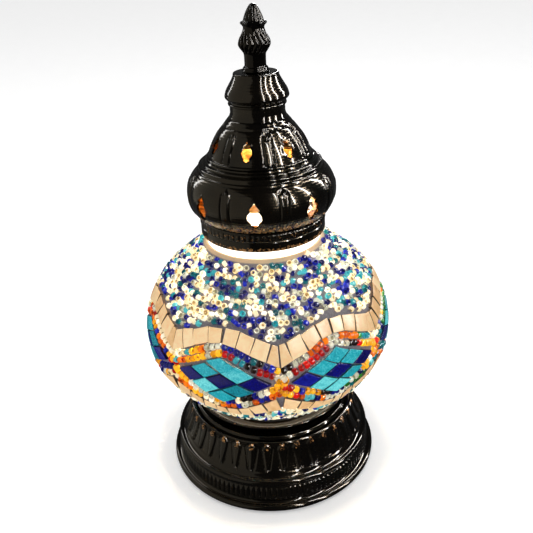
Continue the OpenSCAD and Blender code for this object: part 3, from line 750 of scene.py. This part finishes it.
def leaf_relief(count, low, high, depth):
    """Relief of slim pointed leaves between two heights. A leaf is widest at 0.8 of its height, closes to a
    point above and tapers below; its section is a round ridge, sqrt(1 - (u / width)^2), with a sunk edge."""
    def relief(a, r, z):
        u = across(a, count)
        v = (z - low) / (high - low)
        width = np.where(v > 0.8, 0.74 * np.clip((1.0 - v) / 0.2, 0, 1) ** 0.75,
                         0.26 + 0.6 * np.clip(v, 0, 1))
        inside = np.clip(1 - (u / np.maximum(width, 0.02)) ** 2, 0, 1) * (v > 0) * (v < 1)
        sunk = np.exp(-((u - width) / 0.12) ** 2) * smooth(v, -0.02, 0.1) * (v < 1.02)
        foot = np.exp(-((v - 0.03) / 0.03) ** 2) * np.exp(-(u / 0.3) ** 2)
        body = np.sqrt(inside) - 0.55 * sunk - 0.35 + 0.5 * foot
        return depth * body * smooth(v, -0.06, 0.02) * (v < 1.06)
    return relief


def build_base(metal):
    """Base: rim, ribbed band, step ring, gadrooned dome, shoulder and inner wall as turned strips; then the
    cup under the globe."""
    rim = np.concatenate([[[65.2, 3.0], [67.3, 3.0], [67.7, 1.6]], arc((69.3, 2.9), 2.2, -115, 95, 26),
                          [[67.9, 5.5], [67.4, 6.0], [67.1, 6.5]]])
    band = np.stack([np.linspace(67.1, 66.0, 22), np.linspace(6.5, 17.4, 22)], 1)
    step = np.concatenate([[[66.0, 17.4], [66.5, 17.9]], arc((65.0, 20.0), 1.9, -38, 85, 12),
                           [[64.0, 22.2], [63.2, 22.7], [62.9, 23.1], [62.5, 23.6]]])
    f = np.linspace(0, 1, 46)
    dome = np.stack([62.5 - 6 * np.sin(f * math.pi / 2), 23.6 + 21 * f], 1)
    shoulder = np.concatenate([curve_through([[56.5, 44.6], [55.6, 45.3], [53.8, 45.2], [52.6, 44.9]], 10),
                               arc((51.0, 45.4), 1.0, 20, 120, 8), [[49, 46.15], [42, 46.15]]])
    inner = np.array([[42, 45.2], [50, 45.2], [54.8, 44.2], [55.6, 43], [57, 36], [60.8, 24.6],
                      [63.5, 21.4], [65, 19], [64.8, 16], [65.8, 6.4], [66.4, 4.4], [65.2, 3.9]])

    def rubbed_ribs(a, r, z):
        return 0.26 * smooth(np.abs(z - 12), 5.5, 3) * (across(a, metal.ribs) < 0.5)

    def rubbed_heads(a, r, z):
        crest = smooth(across(a, metal.gadroons), 0.7, 0.2)
        return 0.5 * smooth(z, 35, 41) * crest + 0.1 * smooth(z, 27, 24)

    parts = [turned(rim, 360, wear=lambda a, r, z: 0.30 * smooth(r, 70.6, 71.5)),
             turned(band, 8 * metal.ribs, oval_ribs(metal.ribs, 7.2, 16.8, 0.85), rubbed_ribs),
             turned(step, 360, wear=lambda a, r, z: 0.34 * smooth(r, 66.0, 66.9)),
             turned(dome, 20 * metal.gadroons, leaf_relief(metal.gadroons, 25.5, 44.0, 1.1), rubbed_heads),
             turned(shoulder, 360, wear=lambda a, r, z: 0.34 * smooth(np.abs(r - 51.5), 1.4, 0.3)),
             turned(inner, 180)]
    points, faces, wear = joined(parts)
    patina = patinated_brass("patinated_spun_brass_base", metal)
    mesh_piece("base_shell_turned", points, faces, [patina], "stand", ("base_skirt", "base_shell"),
               {"wear": wear})
    lip = np.concatenate([[[6, 46.25], [41.8, 46.25]], arc((42.0, 52.6), 6.35, -90, -20, 10),
                          [[49.4, 51.0], [51.2, 52.2]], arc((51.4, 53.2), 0.7, -60, 170, 10),
                          [[50.2, 52.8], [48.4, 51.4]], arc((42.0, 52.6), 5.35, -20, -90, 8), [[6, 47.25]]])
    lip[:, 0] = np.where(lip[:, 1] > 50.9, lip[:, 0], np.minimum(lip[:, 0], 50.5))
    points, faces, wear = turned(lip, 240, wear=lambda a, r, z: 0.4 * smooth(z, 52.6, 53.6))
    mesh_piece("globe_cup_turned", points, faces, [patina], "stand", ("globe_cup",),
               {"wear": wear})


def hole_outline(width, height):
    """Lantern-shaped hole as radius against angle: a pointed head on two shoulders, a round belly and a
    notched, pointed foot."""
    w, h = width / 2, height / 2
    right = [(0, -h), (0.24 * w, -0.90 * h), (0.56 * w, -0.79 * h), (0.49 * w, -0.62 * h),
             (0.68 * w, -0.52 * h), (0.93 * w, -0.32 * h), (w, -0.08 * h), (0.92 * w, 0.14 * h),
             (0.56 * w, 0.36 * h), (0.72 * w, 0.52 * h), (0.60 * w, 0.60 * h), (0.24 * w, 0.80 * h),
             (0, h)]
    loop = np.array(right + [(-x, y) for x, y in right[-2:0:-1]])
    angle = np.arctan2(loop[:, 1], loop[:, 0])
    order = np.argsort(angle)
    return angle[order], np.hypot(loop[:, 0], loop[:, 1])[order]


def pierced_wall(profile, panels, turn, hole_z, hole_w, hole_h, flute, line_z=0.0, line_depth=0.0):
    """Sectors of a turned wall, each with one hole. On every spoke the points blend from the hole's edge
    (t = 0) to the sector's border (t = 1), then go onto the profile, with relief flute(distance from the
    border, height). The inner wall is the same set one thickness inside."""
    rings, spokes = 26, 56
    profile = np.asarray(profile, float)
    normal = outline_normals(profile)
    length = np.r_[0, np.cumsum(np.hypot(*np.diff(profile, axis=0).T))]
    level = np.interp(hole_z, profile[:, 1], length)
    radius = np.interp(level, length, profile[:, 0])
    half = math.pi / panels * radius
    top, low = length[-1] - level, -level
    angle, reach = hole_outline(hole_w, hole_h)
    spoke = np.r_[np.linspace(-0.5, 0.5, spokes + 1) * math.pi, np.arctan2([top, low], half),
                  angle[np.abs(angle) < 1.57]]
    spoke = np.unique(spoke.round(6))
    c = np.r_[np.cos(spoke), -np.cos(spoke[-2:0:-1])]
    s = np.r_[np.sin(spoke), np.sin(spoke[-2:0:-1])]
    side = half / np.maximum(np.abs(c), 1e-9)
    end = np.where(s > 0, top, -low) / np.maximum(np.abs(s), 1e-9)
    far = np.minimum(side, end)
    border = far[:, None] * np.stack([c, s], 1)
    edge = np.interp(np.arctan2(s, c), angle, reach, period=TAU)[:, None] * np.stack([c, s], 1)
    t = np.linspace(0, 1, rings)[:, None, None] ** 0.85
    x, s = np.moveaxis(edge[None] * (1 - t) + border[None] * t, -1, 0)
    r, z = (np.interp(s + level, length, profile[:, k]) for k in (0, 1))
    nr, nz = (np.interp(s + level, length, normal[:, k]) for k in (0, 1))
    turn_by = x / radius
    push = flute((1 - np.abs(turn_by) * panels / math.pi) * math.pi / panels * r, z)
    push = push + 0.25 * np.exp(-((t[..., 0] * 9) ** 2)) - line_depth * np.exp(-((z - line_z) / 0.4) ** 2)
    parts, cut = [], len(border)
    for k in range(panels):
        a = turn + TAU * k / panels + turn_by
        shells = []
        for depth in (0.0, CAP_WALL):
            rr, zz = r + (push * (depth == 0) - depth) * nr, z + (push * (depth == 0) - depth) * nz
            shells.append(np.stack([rr * np.sin(a), -rr * np.cos(a), zz], -1).reshape(-1, 3))
        n = rings * cut
        outer = grid_faces(rings, cut)[:, ::-1]
        i = np.arange(cut)
        rim = np.stack([i, (i + 1) % cut, n + (i + 1) % cut, n + i], 1)
        faces = np.concatenate([outer, outer[:, ::-1] + n, rim])
        kind = np.r_[np.zeros(len(outer)), np.ones(len(outer)), np.zeros(len(rim))]
        parts.append((np.concatenate(shells) * MM, faces, kind))
    return parts


def capsule_flute(low, high, half_width, depth):
    """Relief of a round-ended strap, by distance from its edge: sunk along the edge, raised in the middle,
    with a small loop above."""
    def relief(d, z):
        gap = np.hypot(d, z - np.clip(z, low, high)) - half_width
        edge = np.exp(-(gap / 0.42) ** 2)
        loop = np.hypot(d, z - high - half_width * 0.45) - 1.25
        return depth * (0.45 * smooth(-gap, 0.3, 1.4) - edge - 0.8 * np.exp(-(loop / 0.4) ** 2))
    return relief


def joined_shells(walls, strips, strip_kind):
    """Joins pierced sectors, which carry a face kind, and turned strips with one kind each."""
    parts = [(p, f, 0.0) for p, f, _ in walls] + list(strips)
    points, faces, wear = joined(parts)
    kinds = [k for _, _, k in walls] + [np.full(len(s[1]), k) for s, k in zip(strips, strip_kind)]
    return points, faces, wear, np.concatenate(kinds)


def build_collar(metal, patina):
    """Turned collar on the glass neck, with upright oval ribs round its waist."""
    collar = np.concatenate([[[37.4, 183.55], [37.4, 171.4]], arc((37.85, 171.6), 0.55, -150, 0, 8),
                             [[38.35, 172.6], [38.3, 176.4], [38.0, 176.8]],
                             np.stack([np.full(14, 38.0), np.linspace(176.8, 181.4, 14)], 1),
                             [[38.0, 181.5], [38.4, 181.8], [38.4, 182.4], [37.6, 182.7],
                              [37.6, 183.6], [31, 183.6], [31, 182.75], [37.4, 182.75]]])

    def flecks(a, r, z):
        return 0.52 * smooth(z, 176.9, 175.0) + 0.4 * smooth(np.abs(z - 179), 2.8, 1.4)

    ribs = oval_ribs(metal.collar_ribs, 176.9, 181.3, 0.6)
    points, faces, wear = turned(collar, 12 * metal.collar_ribs, ribs, flecks)
    mesh_piece("cap_collar_turned", points, faces, [patina], "cap", ("cap_collar",),
               {"wear": wear})


def build_lower_dome(metal, patina, brass):
    """Onion dome of pierced sectors on an arc, its foot moulding and the rings of its shoulder."""
    lower = arc((27.1, 196.5), 17.9, -45, 49, 60)
    straps = capsule_flute(187.5, 205.5, 2.9, 0.7)
    walls = pierced_wall(lower, metal.lower_panels, math.radians(-6), 195.5, 8.2, 16.0, straps)
    foot = np.concatenate([[[31, 184.8], [31, 183.7], [38.9, 183.7], [39.6, 183.72]], lower[:1]])
    shoulder = np.concatenate([
        lower[-1:], curve_through([[38.6, 210.3], [37.9, 211.2], [37.2, 211.4], [36.9, 212.2]], 8),
        arc((35.9, 213.0), 1.1, 10, 80, 7), [[35.0, 214.0], [34.4, 214.2]],
        arc((33.5, 215.0), 1.0, -20, 85, 7), [[32.9, 216.1], [32.3, 216.3], [31.8, 217], [24, 217],
                                              [24, 215.9], [31, 215.9], [37.2, 209.6]]])
    inner_foot = np.array([[31, 184.8], [38.6, 184.85], [39.0, 184.9]])
    strips = [turned(foot, 240, wear=0.49), turned(shoulder, 360, wear=0.12), turned(inner_foot, 240)]
    points, faces, wear, kind = joined_shells(walls, strips, (0, 0, 1))
    height = points[:, 2] / MM
    wear = np.maximum(wear, 0.49 * smooth(height, 193.5, 187.0))
    mesh_piece("cap_lower_dome_pierced", points, faces, [patina, brass], "cap", ("cap_lower_dome",),
               {"wear": wear}, face_material=kind)


def build_upper_dome(metal, patina, brass):
    """Pierced cone, r = 30.4 - 12.6 f + 1.5 sin(pi f) up its height, its foot ring and its waist."""
    f = np.linspace(0, 1, 48)
    upper = np.stack([30.4 - 12.6 * f + 1.5 * np.sin(math.pi * f), 219.2 + 20.4 * f], 1)
    straps = capsule_flute(221.0, 232.2, 2.8, 0.6)
    walls = pierced_wall(upper, metal.upper_panels, math.radians(-15.7), 227.0, 6.2, 11.8, straps,
                         line_z=236.6, line_depth=0.45)
    foot = np.concatenate([[[24, 218.1], [24, 217.05], [31.0, 217.05]],
                           arc((30.7, 218.0), 0.95, -70, 75, 8), [[30.6, 219.0], upper[0]]])
    head = np.concatenate([upper[-1:], [[17.5, 240.0], [16.9, 240.3], [16.75, 240.8]],
                           curve_through([[16.6, 241.2], [16.0, 243.2], [15.95, 245.5], [15.9, 247.4]], 12),
                           [[8, 247.4], [8, 246.3], [14.8, 246.3],
                            [14.9, 243.6], [15.6, 240.6], [16.7, 238.9]]])
    inner_foot = np.array([[24, 218.1], [29.4, 218.2], [29.4, 218.9]])
    strips = [turned(foot, 240, wear=0.1), turned(head, 240, wear=0.05), turned(inner_foot, 240)]
    points, faces, wear, kind = joined_shells(walls, strips, (0, 0, 1))
    mesh_piece("cap_upper_dome_pierced", points, faces, [patina, brass], "cap", ("cap_upper_dome",),
               {"wear": wear}, face_material=kind)


def build_crown(patina):
    """Turned crown: a bead ring, a swelling belly and a sloping shoulder under the finial."""
    belly = curve_through([[17.2, 250.4], [18.4, 251.8], [18.4, 253.0], [17.6, 255.6], [16.1, 258.2],
                           [14.3, 261.2], [13.1, 263.6]], 30)
    inner = [[3.2, 265.3], [3.2, 264.2], [11.6, 264.2], [14.6, 258.2], [17.0, 252.6], [14.8, 250.2],
             [14.8, 248.5], [8, 248.5]]
    crown = np.concatenate([[[8, 248.5], [8, 247.45], [15.9, 247.45]], arc((16.2, 248.2), 0.75, -80, 80, 8),
                            [[16.1, 249.1], [16.2, 249.8]], belly, arc((12.2, 264.4), 0.9, 0, 90, 6), inner])

    def ring(a, r, z):
        return 0.16 * smooth(np.abs(z - 252.4), 1.4, 0.2)

    points, faces, wear = turned(crown, 240, wear=ring)
    mesh_piece("cap_crown_turned", points, faces, [patina], "cap", ("cap_crown",),
               {"wear": wear})


def build_cap(metal):
    """Collar, two pierced domes and crown, patinated outside and raw brass inside."""
    patina = patinated_brass("patinated_spun_brass_cap", metal)
    brass = raw_brass("heat_stained_raw_brass")
    build_collar(metal, patina)
    build_lower_dome(metal, patina, brass)
    build_upper_dome(metal, patina, brass)
    build_crown(patina)


def build_finial(metal):
    """Cast spindle: a bulb of sixteen slanting leaves, a ring of six leaf tips and a ribbed bud."""
    # Darker shades than the cap's patina, a painted shade so that the finial reflects the strip lights less
    patina = patinated_brass("patinated_cast_brass", metal, lacquer=0.2, grain=0.1,
                              shades=("#0d0b08", "#1a1611"))
    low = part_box("finial")[0][2] / MM
    spindle = curve_through([[7.3, low + 1.4], [7.0, low + 2.4], [6.2, low + 3.2], [6.1, 270.4],
                             [6.2, 274.8], [7.2, 276.6], [8.7, 278.8], [9.2, 280.8], [8.4, 283.2],
                             [6.8, 286.0], [5.9, 288.4], [6.1, 289.8], [6.9, 291.4], [5.9, 292.2],
                             [5.2, 294.4], [4.1, 297.0], [2.7, 299.4]], 130)
    stem = np.concatenate([[[3.1, low], [7.0, low]], arc((7.0, low + 0.7), 0.7, -90, 60, 6), spindle,
                           [[1.8, 300.5], [1.0, 301.0], [0.02, 301.2]]])

    def leaves(a, r, z):
        slant = across(a + 0.05 * np.abs(z - 281), 16)
        bulb = smooth(z, 275.4, 277.5) * smooth(z, 287.8, 285.0)
        petal = across(a, 6)
        ridge = across(a, 12)
        bud = smooth(z, 292.4, 293.4) * smooth(z, 300.8, 298.5)
        return (-0.9 * bulb * slant ** 2 + 1.1 * np.exp(-((z - 291.2) / 1.1) ** 2) * (0.45 - petal)
                - 0.35 * bud * ridge ** 4)

    points, faces, wear = turned(stem, 192, leaves, lambda a, r, z: 0.2 * smooth(r, 8.2, 8.8))
    mesh_piece("finial_turned", points, faces, [patina], "finial", ("finial",),
               {"wear": wear})


# ---- inside and plain nodes ------------------------------------------------------------------------


# Nodes that keep their own shape. For each finish: nodes, dark and pale colour, grain in millimetres,
# roughness and extras.
PLAIN_FINISHES = {
    # Barrel-plated steel is bright and faintly mottled
    "barrel_plated_zinc_steel": (["tube_nut", "tube_washer", "cup_washer", "cup_nut", "holder_locknut",
                                  "earth_screw", "terminal_screws", "block_screw", "cap_bridge", "cap_rod",
                                  "cap_nut", "cap_washer", "base_cover"],
                                 "#9a9a98", "#c8c9c9", 4, 0.35, {"metallic": 1.0}),
    # Drawn brass is yellow, with a soft sheen
    "drawn_brass": (["threaded_tube", "screw_shell", "centre_contact", "terminal_sleeves", "holder_screws",
                     "earth_tag"], "#b08a3c", "#d9b866", 5, 0.3, {"metallic": 1.0}),
    # Moulded rubber is dull black
    "moulded_black_rubber": (["inlet_bush", "cup_gasket", "neck_gasket"],
                             "#121212", "#1e1e1e", 1.5, 0.7, {}),
    # Pressed felt has no shine and a fibre nap
    "pressed_wool_felt": (["felt_pad"], "#161f16", "#28352a", 0.8, 0.95, {"bumps": 0.8}),
    # Cured silicone is milky, with a soft wet look
    "cured_silicone": (["globe_seal"], "#d8d8d2", "#ebebe6", 3, 0.3, {}),
    # Moulded phenolic is black and polished by its mould
    "moulded_black_phenolic": (["holder_cap", "holder_sleeve"], "#0c0c0c", "#191716", 3, 0.25, {}),
    # Glazed porcelain is white and glassy
    "glazed_porcelain": (["holder_core"], "#e6e2d8", "#f4f1ea", 5, 0.15, {}),
    # Extruded PVC is evenly coloured and half glossy
    "extruded_brown_pvc": (["live_lead"], "#5a2f16", "#6e3c1e", 3, 0.4, {}),
    "extruded_blue_pvc": (["neutral_lead"], "#1c4fa8", "#2a62c0", 3, 0.4, {}),
    "extruded_green_pvc": (["earth_lead"], "#3f8a2a", "#58a838", 3, 0.4, {}),
    # Moulded nylon is off-white and waxy
    "moulded_natural_nylon": (["terminal_block"], "#dcdbd2", "#eceae2", 3, 0.5, {}),
    # Blown glass frosted inside hides the bulb; a painted glow stands for its light, strongest on the bare
    # neck
    "frosted_blown_glass": (["glass_shoulder", "glass_neck"], "#fff3dc", "#fffaf0", 12, 0.4, {"glow": 2.2}),
    # The foot of the same glass is half hidden in the cup, so its painted glow is weaker: painted shade
    "frosted_blown_glass_foot_painted_shade": (["glass_globe"], "#fff3dc", "#fffaf0", 12, 0.4, {"glow": 0.35}),
    # The lit bulb's blown glass is too bright to show a surface
    "lit_blown_bulb_glass": (["bulb_envelope"], "#fff0d0", "#fff8e8", 8, 0.2, {"glow": 4.0}),
    # Nickel plate is warm grey and bright
    "nickel_plated_brass": (["bulb_cap"], "#b8b4aa", "#d4d0c8", 4, 0.25, {"metallic": 1.0}),
    # Fused glass is black and wet-looking
    "fused_black_glass": (["bulb_insulator"], "#08080a", "#141418", 2, 0.12, {}),
    # Solder sets as a dull silver blob
    "set_tin_solder": (["bulb_contact"], "#a8a8a6", "#c4c4c2", 1, 0.4, {"metallic": 1.0}),
    # The drawn stem has a painted glow for the light it catches from the filaments
    "drawn_stem_glass": (["bulb_stem"], "#e8f0f0", "#f6fbfb", 4, 0.1, {"glow": 1.0}),
    # Phosphor-coated filaments are the brightest thing in the lamp
    "coated_filament": (["bulb_filaments"], "#ffd070", "#ffe7a8", 1, 0.5, {"glow": 12.0}),
}
LIT_NODES = ("glass_globe", "glass_shoulder", "glass_neck", "grout", "bulb_envelope", "bulb_stem",
             "bulb_filaments")


def build_inside():
    """Finishes of the nodes that keep their own shape. The lit ones cast no shadow of the bulb's light."""
    for name, (nodes, dark, pale, grain, rough, extras) in PLAIN_FINISHES.items():
        dress(nodes, speckled(name, [(0.3, dark), (0.7, pale)], grain * MM, rough, **extras))
    dress(["grout"], tile_grout("sanded_tile_grout"))
    for name in LIT_NODES:
        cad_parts[name].visible_shadow = False


def build_bulb_light(light):
    """A warm ball of light where the filaments stand."""
    low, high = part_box("bulb_filaments")
    data = bpy.data.lights.new("bulb_light", "POINT")
    data.energy = light.power
    data.color = tuple(light.warmth)
    data.shadow_soft_size = 18 * MM
    lamp = bpy.data.objects.new("bulb_light", data)
    lamp.location = [(low[i] + high[i]) / 2 for i in range(3)]
    bpy.context.scene.collection.objects.link(lamp)


# ---- stage -----------------------------------------------------------------------------------------


def area_light(name, turn, distance, height, size, energy, colour=(1, 1, 1), fill=False):
    """A soft box `turn` degrees round from the front towards +X, aimed at the lamp's middle. A fill lights
    dull things only; the others only give highlights."""
    data = bpy.data.lights.new(name, "AREA")
    data.shape = "RECTANGLE"
    data.size, data.size_y = size
    data.energy = energy
    data.color = colour
    lamp = bpy.data.objects.new(name, data)
    a = math.radians(turn)
    lamp.location = (distance * math.sin(a), -distance * math.cos(a), height)
    aim = Vector((0, 0, 0.15)) - lamp.location
    lamp.rotation_euler = aim.to_track_quat("-Z", "Y").to_euler()
    lamp.visible_camera = False
    lamp.visible_diffuse = fill
    lamp.visible_glossy = not fill
    bpy.context.scene.collection.objects.link(lamp)


def build_floor():
    """Pale paper floor just under the lamp's foot."""
    floor = bpy.data.meshes.new("floor")
    floor.from_pydata([(-6, -6, 0), (6, -6, 0), (6, 6, 0), (-6, 6, 0)], [], [(0, 1, 2, 3)])
    plane = bpy.data.objects.new("floor", floor)
    bpy.context.scene.collection.objects.link(plane)
    # Uncoated paper has no shine, and its grain is too fine to show
    floor.materials.append(speckled("matt_white_paper", [(0.3, "#f9f9f9"), (0.7, "#fdfdfd")], 40 * MM, 0.95,
                                    bumps=0.0, glow=0.3))
    plane.location.z = -0.2 * MM
    # The dark metal doesn't mirror the floor, as if black card stood round the lamp
    plane.visible_glossy = False


def build_sky():
    """Even white sky. Shiny things see a dim room instead, so that dark metal stays dark."""
    world = bpy.data.worlds.new("studio")
    bpy.context.scene.world = world
    bpy.context.scene.view_settings.view_transform = "Standard"
    world.use_nodes = True
    tree = world.node_tree
    tree.nodes.clear()
    path = add_node(tree, "ShaderNodeLightPath")
    sky = add_node(tree, "ShaderNodeBackground", values={"Color": (1, 1, 1, 1), "Strength": 0.62})
    room = add_node(tree, "ShaderNodeBackground", values={"Color": (1, 1, 1, 1), "Strength": 0.05})
    mix = add_node(tree, "ShaderNodeMixShader",
                   links={0: (path, "Is Glossy Ray"), 1: (sky, "Background"), 2: (room, "Background")})
    add_node(tree, "ShaderNodeOutputWorld", links={"Surface": (mix, "Shader")})


def build_camera():
    """Camera over the front, looking down on the lamp, a little rolled."""
    pitch, yaw, roll = math.radians(27.16), 0.002, math.radians(-2.75)
    forward = Vector((math.cos(pitch) * math.sin(yaw), math.cos(pitch) * math.cos(yaw), -math.sin(pitch)))
    right = Vector((math.cos(yaw), -math.sin(yaw), 0))
    up = right.cross(forward)
    rolled_right = math.cos(roll) * right + math.sin(roll) * up
    rolled_up = -math.sin(roll) * right + math.cos(roll) * up
    data = bpy.data.cameras.new("camera")
    data.lens, data.sensor_width = 45.5, 36.0
    camera = bpy.data.objects.new("camera", data)
    axes = Matrix((rolled_right, rolled_up, -forward)).transposed().to_4x4()
    camera.matrix_world = Matrix.Translation((0.0, -0.3852, 0.3400)) @ axes
    bpy.context.scene.collection.objects.link(camera)
    bpy.context.scene.camera = camera


def build_stage():
    """Floor, tall strip boxes that give the metal its highlights, a warm wall at the left, a fill above, the
    sky and the camera."""
    build_floor()
    for name, turn, distance, height, size, energy in (
            ("strip_near", 24, 1.0, 0.75, (0.03, 1.0), 6),
            ("strip_right", 48, 1.0, 0.8, (0.04, 1.1), 14),
            ("strip_side", 76, 1.1, 0.8, (0.05, 1.1), 18),
            ("strip_far", 112, 1.1, 0.8, (0.06, 1.1), 18),
            ("strip_back", 172, 1.1, 0.8, (0.05, 1.1), 8),
            ("strip_rear_left", 232, 1.1, 0.8, (0.1, 1.1), 3)):
        area_light(name, turn, distance, height, size, energy)
    area_light("wall_left", -74, 1.1, 0.35, (2.8, 2.4), 8.9, (1.0, 0.94, 0.76))
    area_light("box_top", 180, 0.3, 1.9, (1.2, 1.2), 9, fill=True)
    build_sky()
    build_camera()


# ---- operators -------------------------------------------------------------------------------------


class LAMP_OT_base(Operator):
    """Turn the base and the cup under the globe"""

    bl_idname = "lamp.base"
    bl_label = "Base"

    def execute(self, context):
        build_base(context.scene.lamp_metal)
        return {"FINISHED"}


class LAMP_OT_cap(Operator):
    """Raise the collar, the two pierced domes and the crown"""

    bl_idname = "lamp.cap"
    bl_label = "Cap"

    def execute(self, context):
        build_cap(context.scene.lamp_metal)
        return {"FINISHED"}


class LAMP_OT_finial(Operator):
    """Turn the finial"""

    bl_idname = "lamp.finial"
    bl_label = "Finial"

    def execute(self, context):
        build_finial(context.scene.lamp_metal)
        return {"FINISHED"}


class LAMP_OT_beads(Operator):
    """Scatter the seed beads over the globe"""

    bl_idname = "lamp.beads"
    bl_label = "Beads"

    def execute(self, context):
        build_beads(context.scene.lamp_globe)
        return {"FINISHED"}


class LAMP_OT_tiles(Operator):
    """Lay the cream, turquoise and cobalt tiles"""

    bl_idname = "lamp.tiles"
    bl_label = "Tiles"

    def execute(self, context):
        build_tiles(context.scene.lamp_globe)
        return {"FINISHED"}


class LAMP_OT_inside(Operator):
    """Finish the nodes that keep their own shape and light the bulb"""

    bl_idname = "lamp.inside"
    bl_label = "Inside"

    def execute(self, context):
        build_inside()
        build_bulb_light(context.scene.lamp_light)
        return {"FINISHED"}


class LAMP_OT_stage(Operator):
    """Set the floor, the lights and the camera"""

    bl_idname = "lamp.stage"
    bl_label = "Stage"

    def execute(self, context):
        build_stage()
        return {"FINISHED"}


class LAMP_PT_panel(Panel):
    """Lists the lamp's settings and builders"""

    bl_idname = "LAMP_PT_panel"
    bl_label = "Mosaic Lamp"
    bl_space_type = "VIEW_3D"
    bl_region_type = "UI"
    bl_category = "Lamp"

    def draw(self, context):
        for group in ("lamp_globe", "lamp_metal", "lamp_light"):
            box = self.layout.box()
            settings = getattr(context.scene, group)
            for key in settings.__annotations__:
                box.prop(settings, key)
        for operator in OPERATORS:
            self.layout.operator(operator.bl_idname)


GROUPS = (LampGlobe, LampMetal, LampLight)
OPERATORS = (LAMP_OT_base, LAMP_OT_cap, LAMP_OT_finial, LAMP_OT_beads, LAMP_OT_tiles, LAMP_OT_inside,
             LAMP_OT_stage)


def register():
    """Registers the classes and hangs the settings on the scene."""
    for cls in (*GROUPS, *OPERATORS, LAMP_PT_panel):
        bpy.utils.register_class(cls)
    bpy.types.Scene.lamp_globe = PointerProperty(type=LampGlobe)
    bpy.types.Scene.lamp_metal = PointerProperty(type=LampMetal)
    bpy.types.Scene.lamp_light = PointerProperty(type=LampLight)


def unregister():
    """Takes the settings and classes away again."""
    for key in ("lamp_globe", "lamp_metal", "lamp_light"):
        delattr(bpy.types.Scene, key)
    for cls in reversed((*GROUPS, *OPERATORS, LAMP_PT_panel)):
        bpy.utils.unregister_class(cls)


def main():
    """Builds the lamp."""
    register()
    bpy.ops.lamp.base()
    bpy.ops.lamp.cap()
    bpy.ops.lamp.finial()
    bpy.ops.lamp.beads()
    bpy.ops.lamp.tiles()
    bpy.ops.lamp.inside()
    bpy.ops.lamp.stage()


if __name__ == "__main__":
    main()
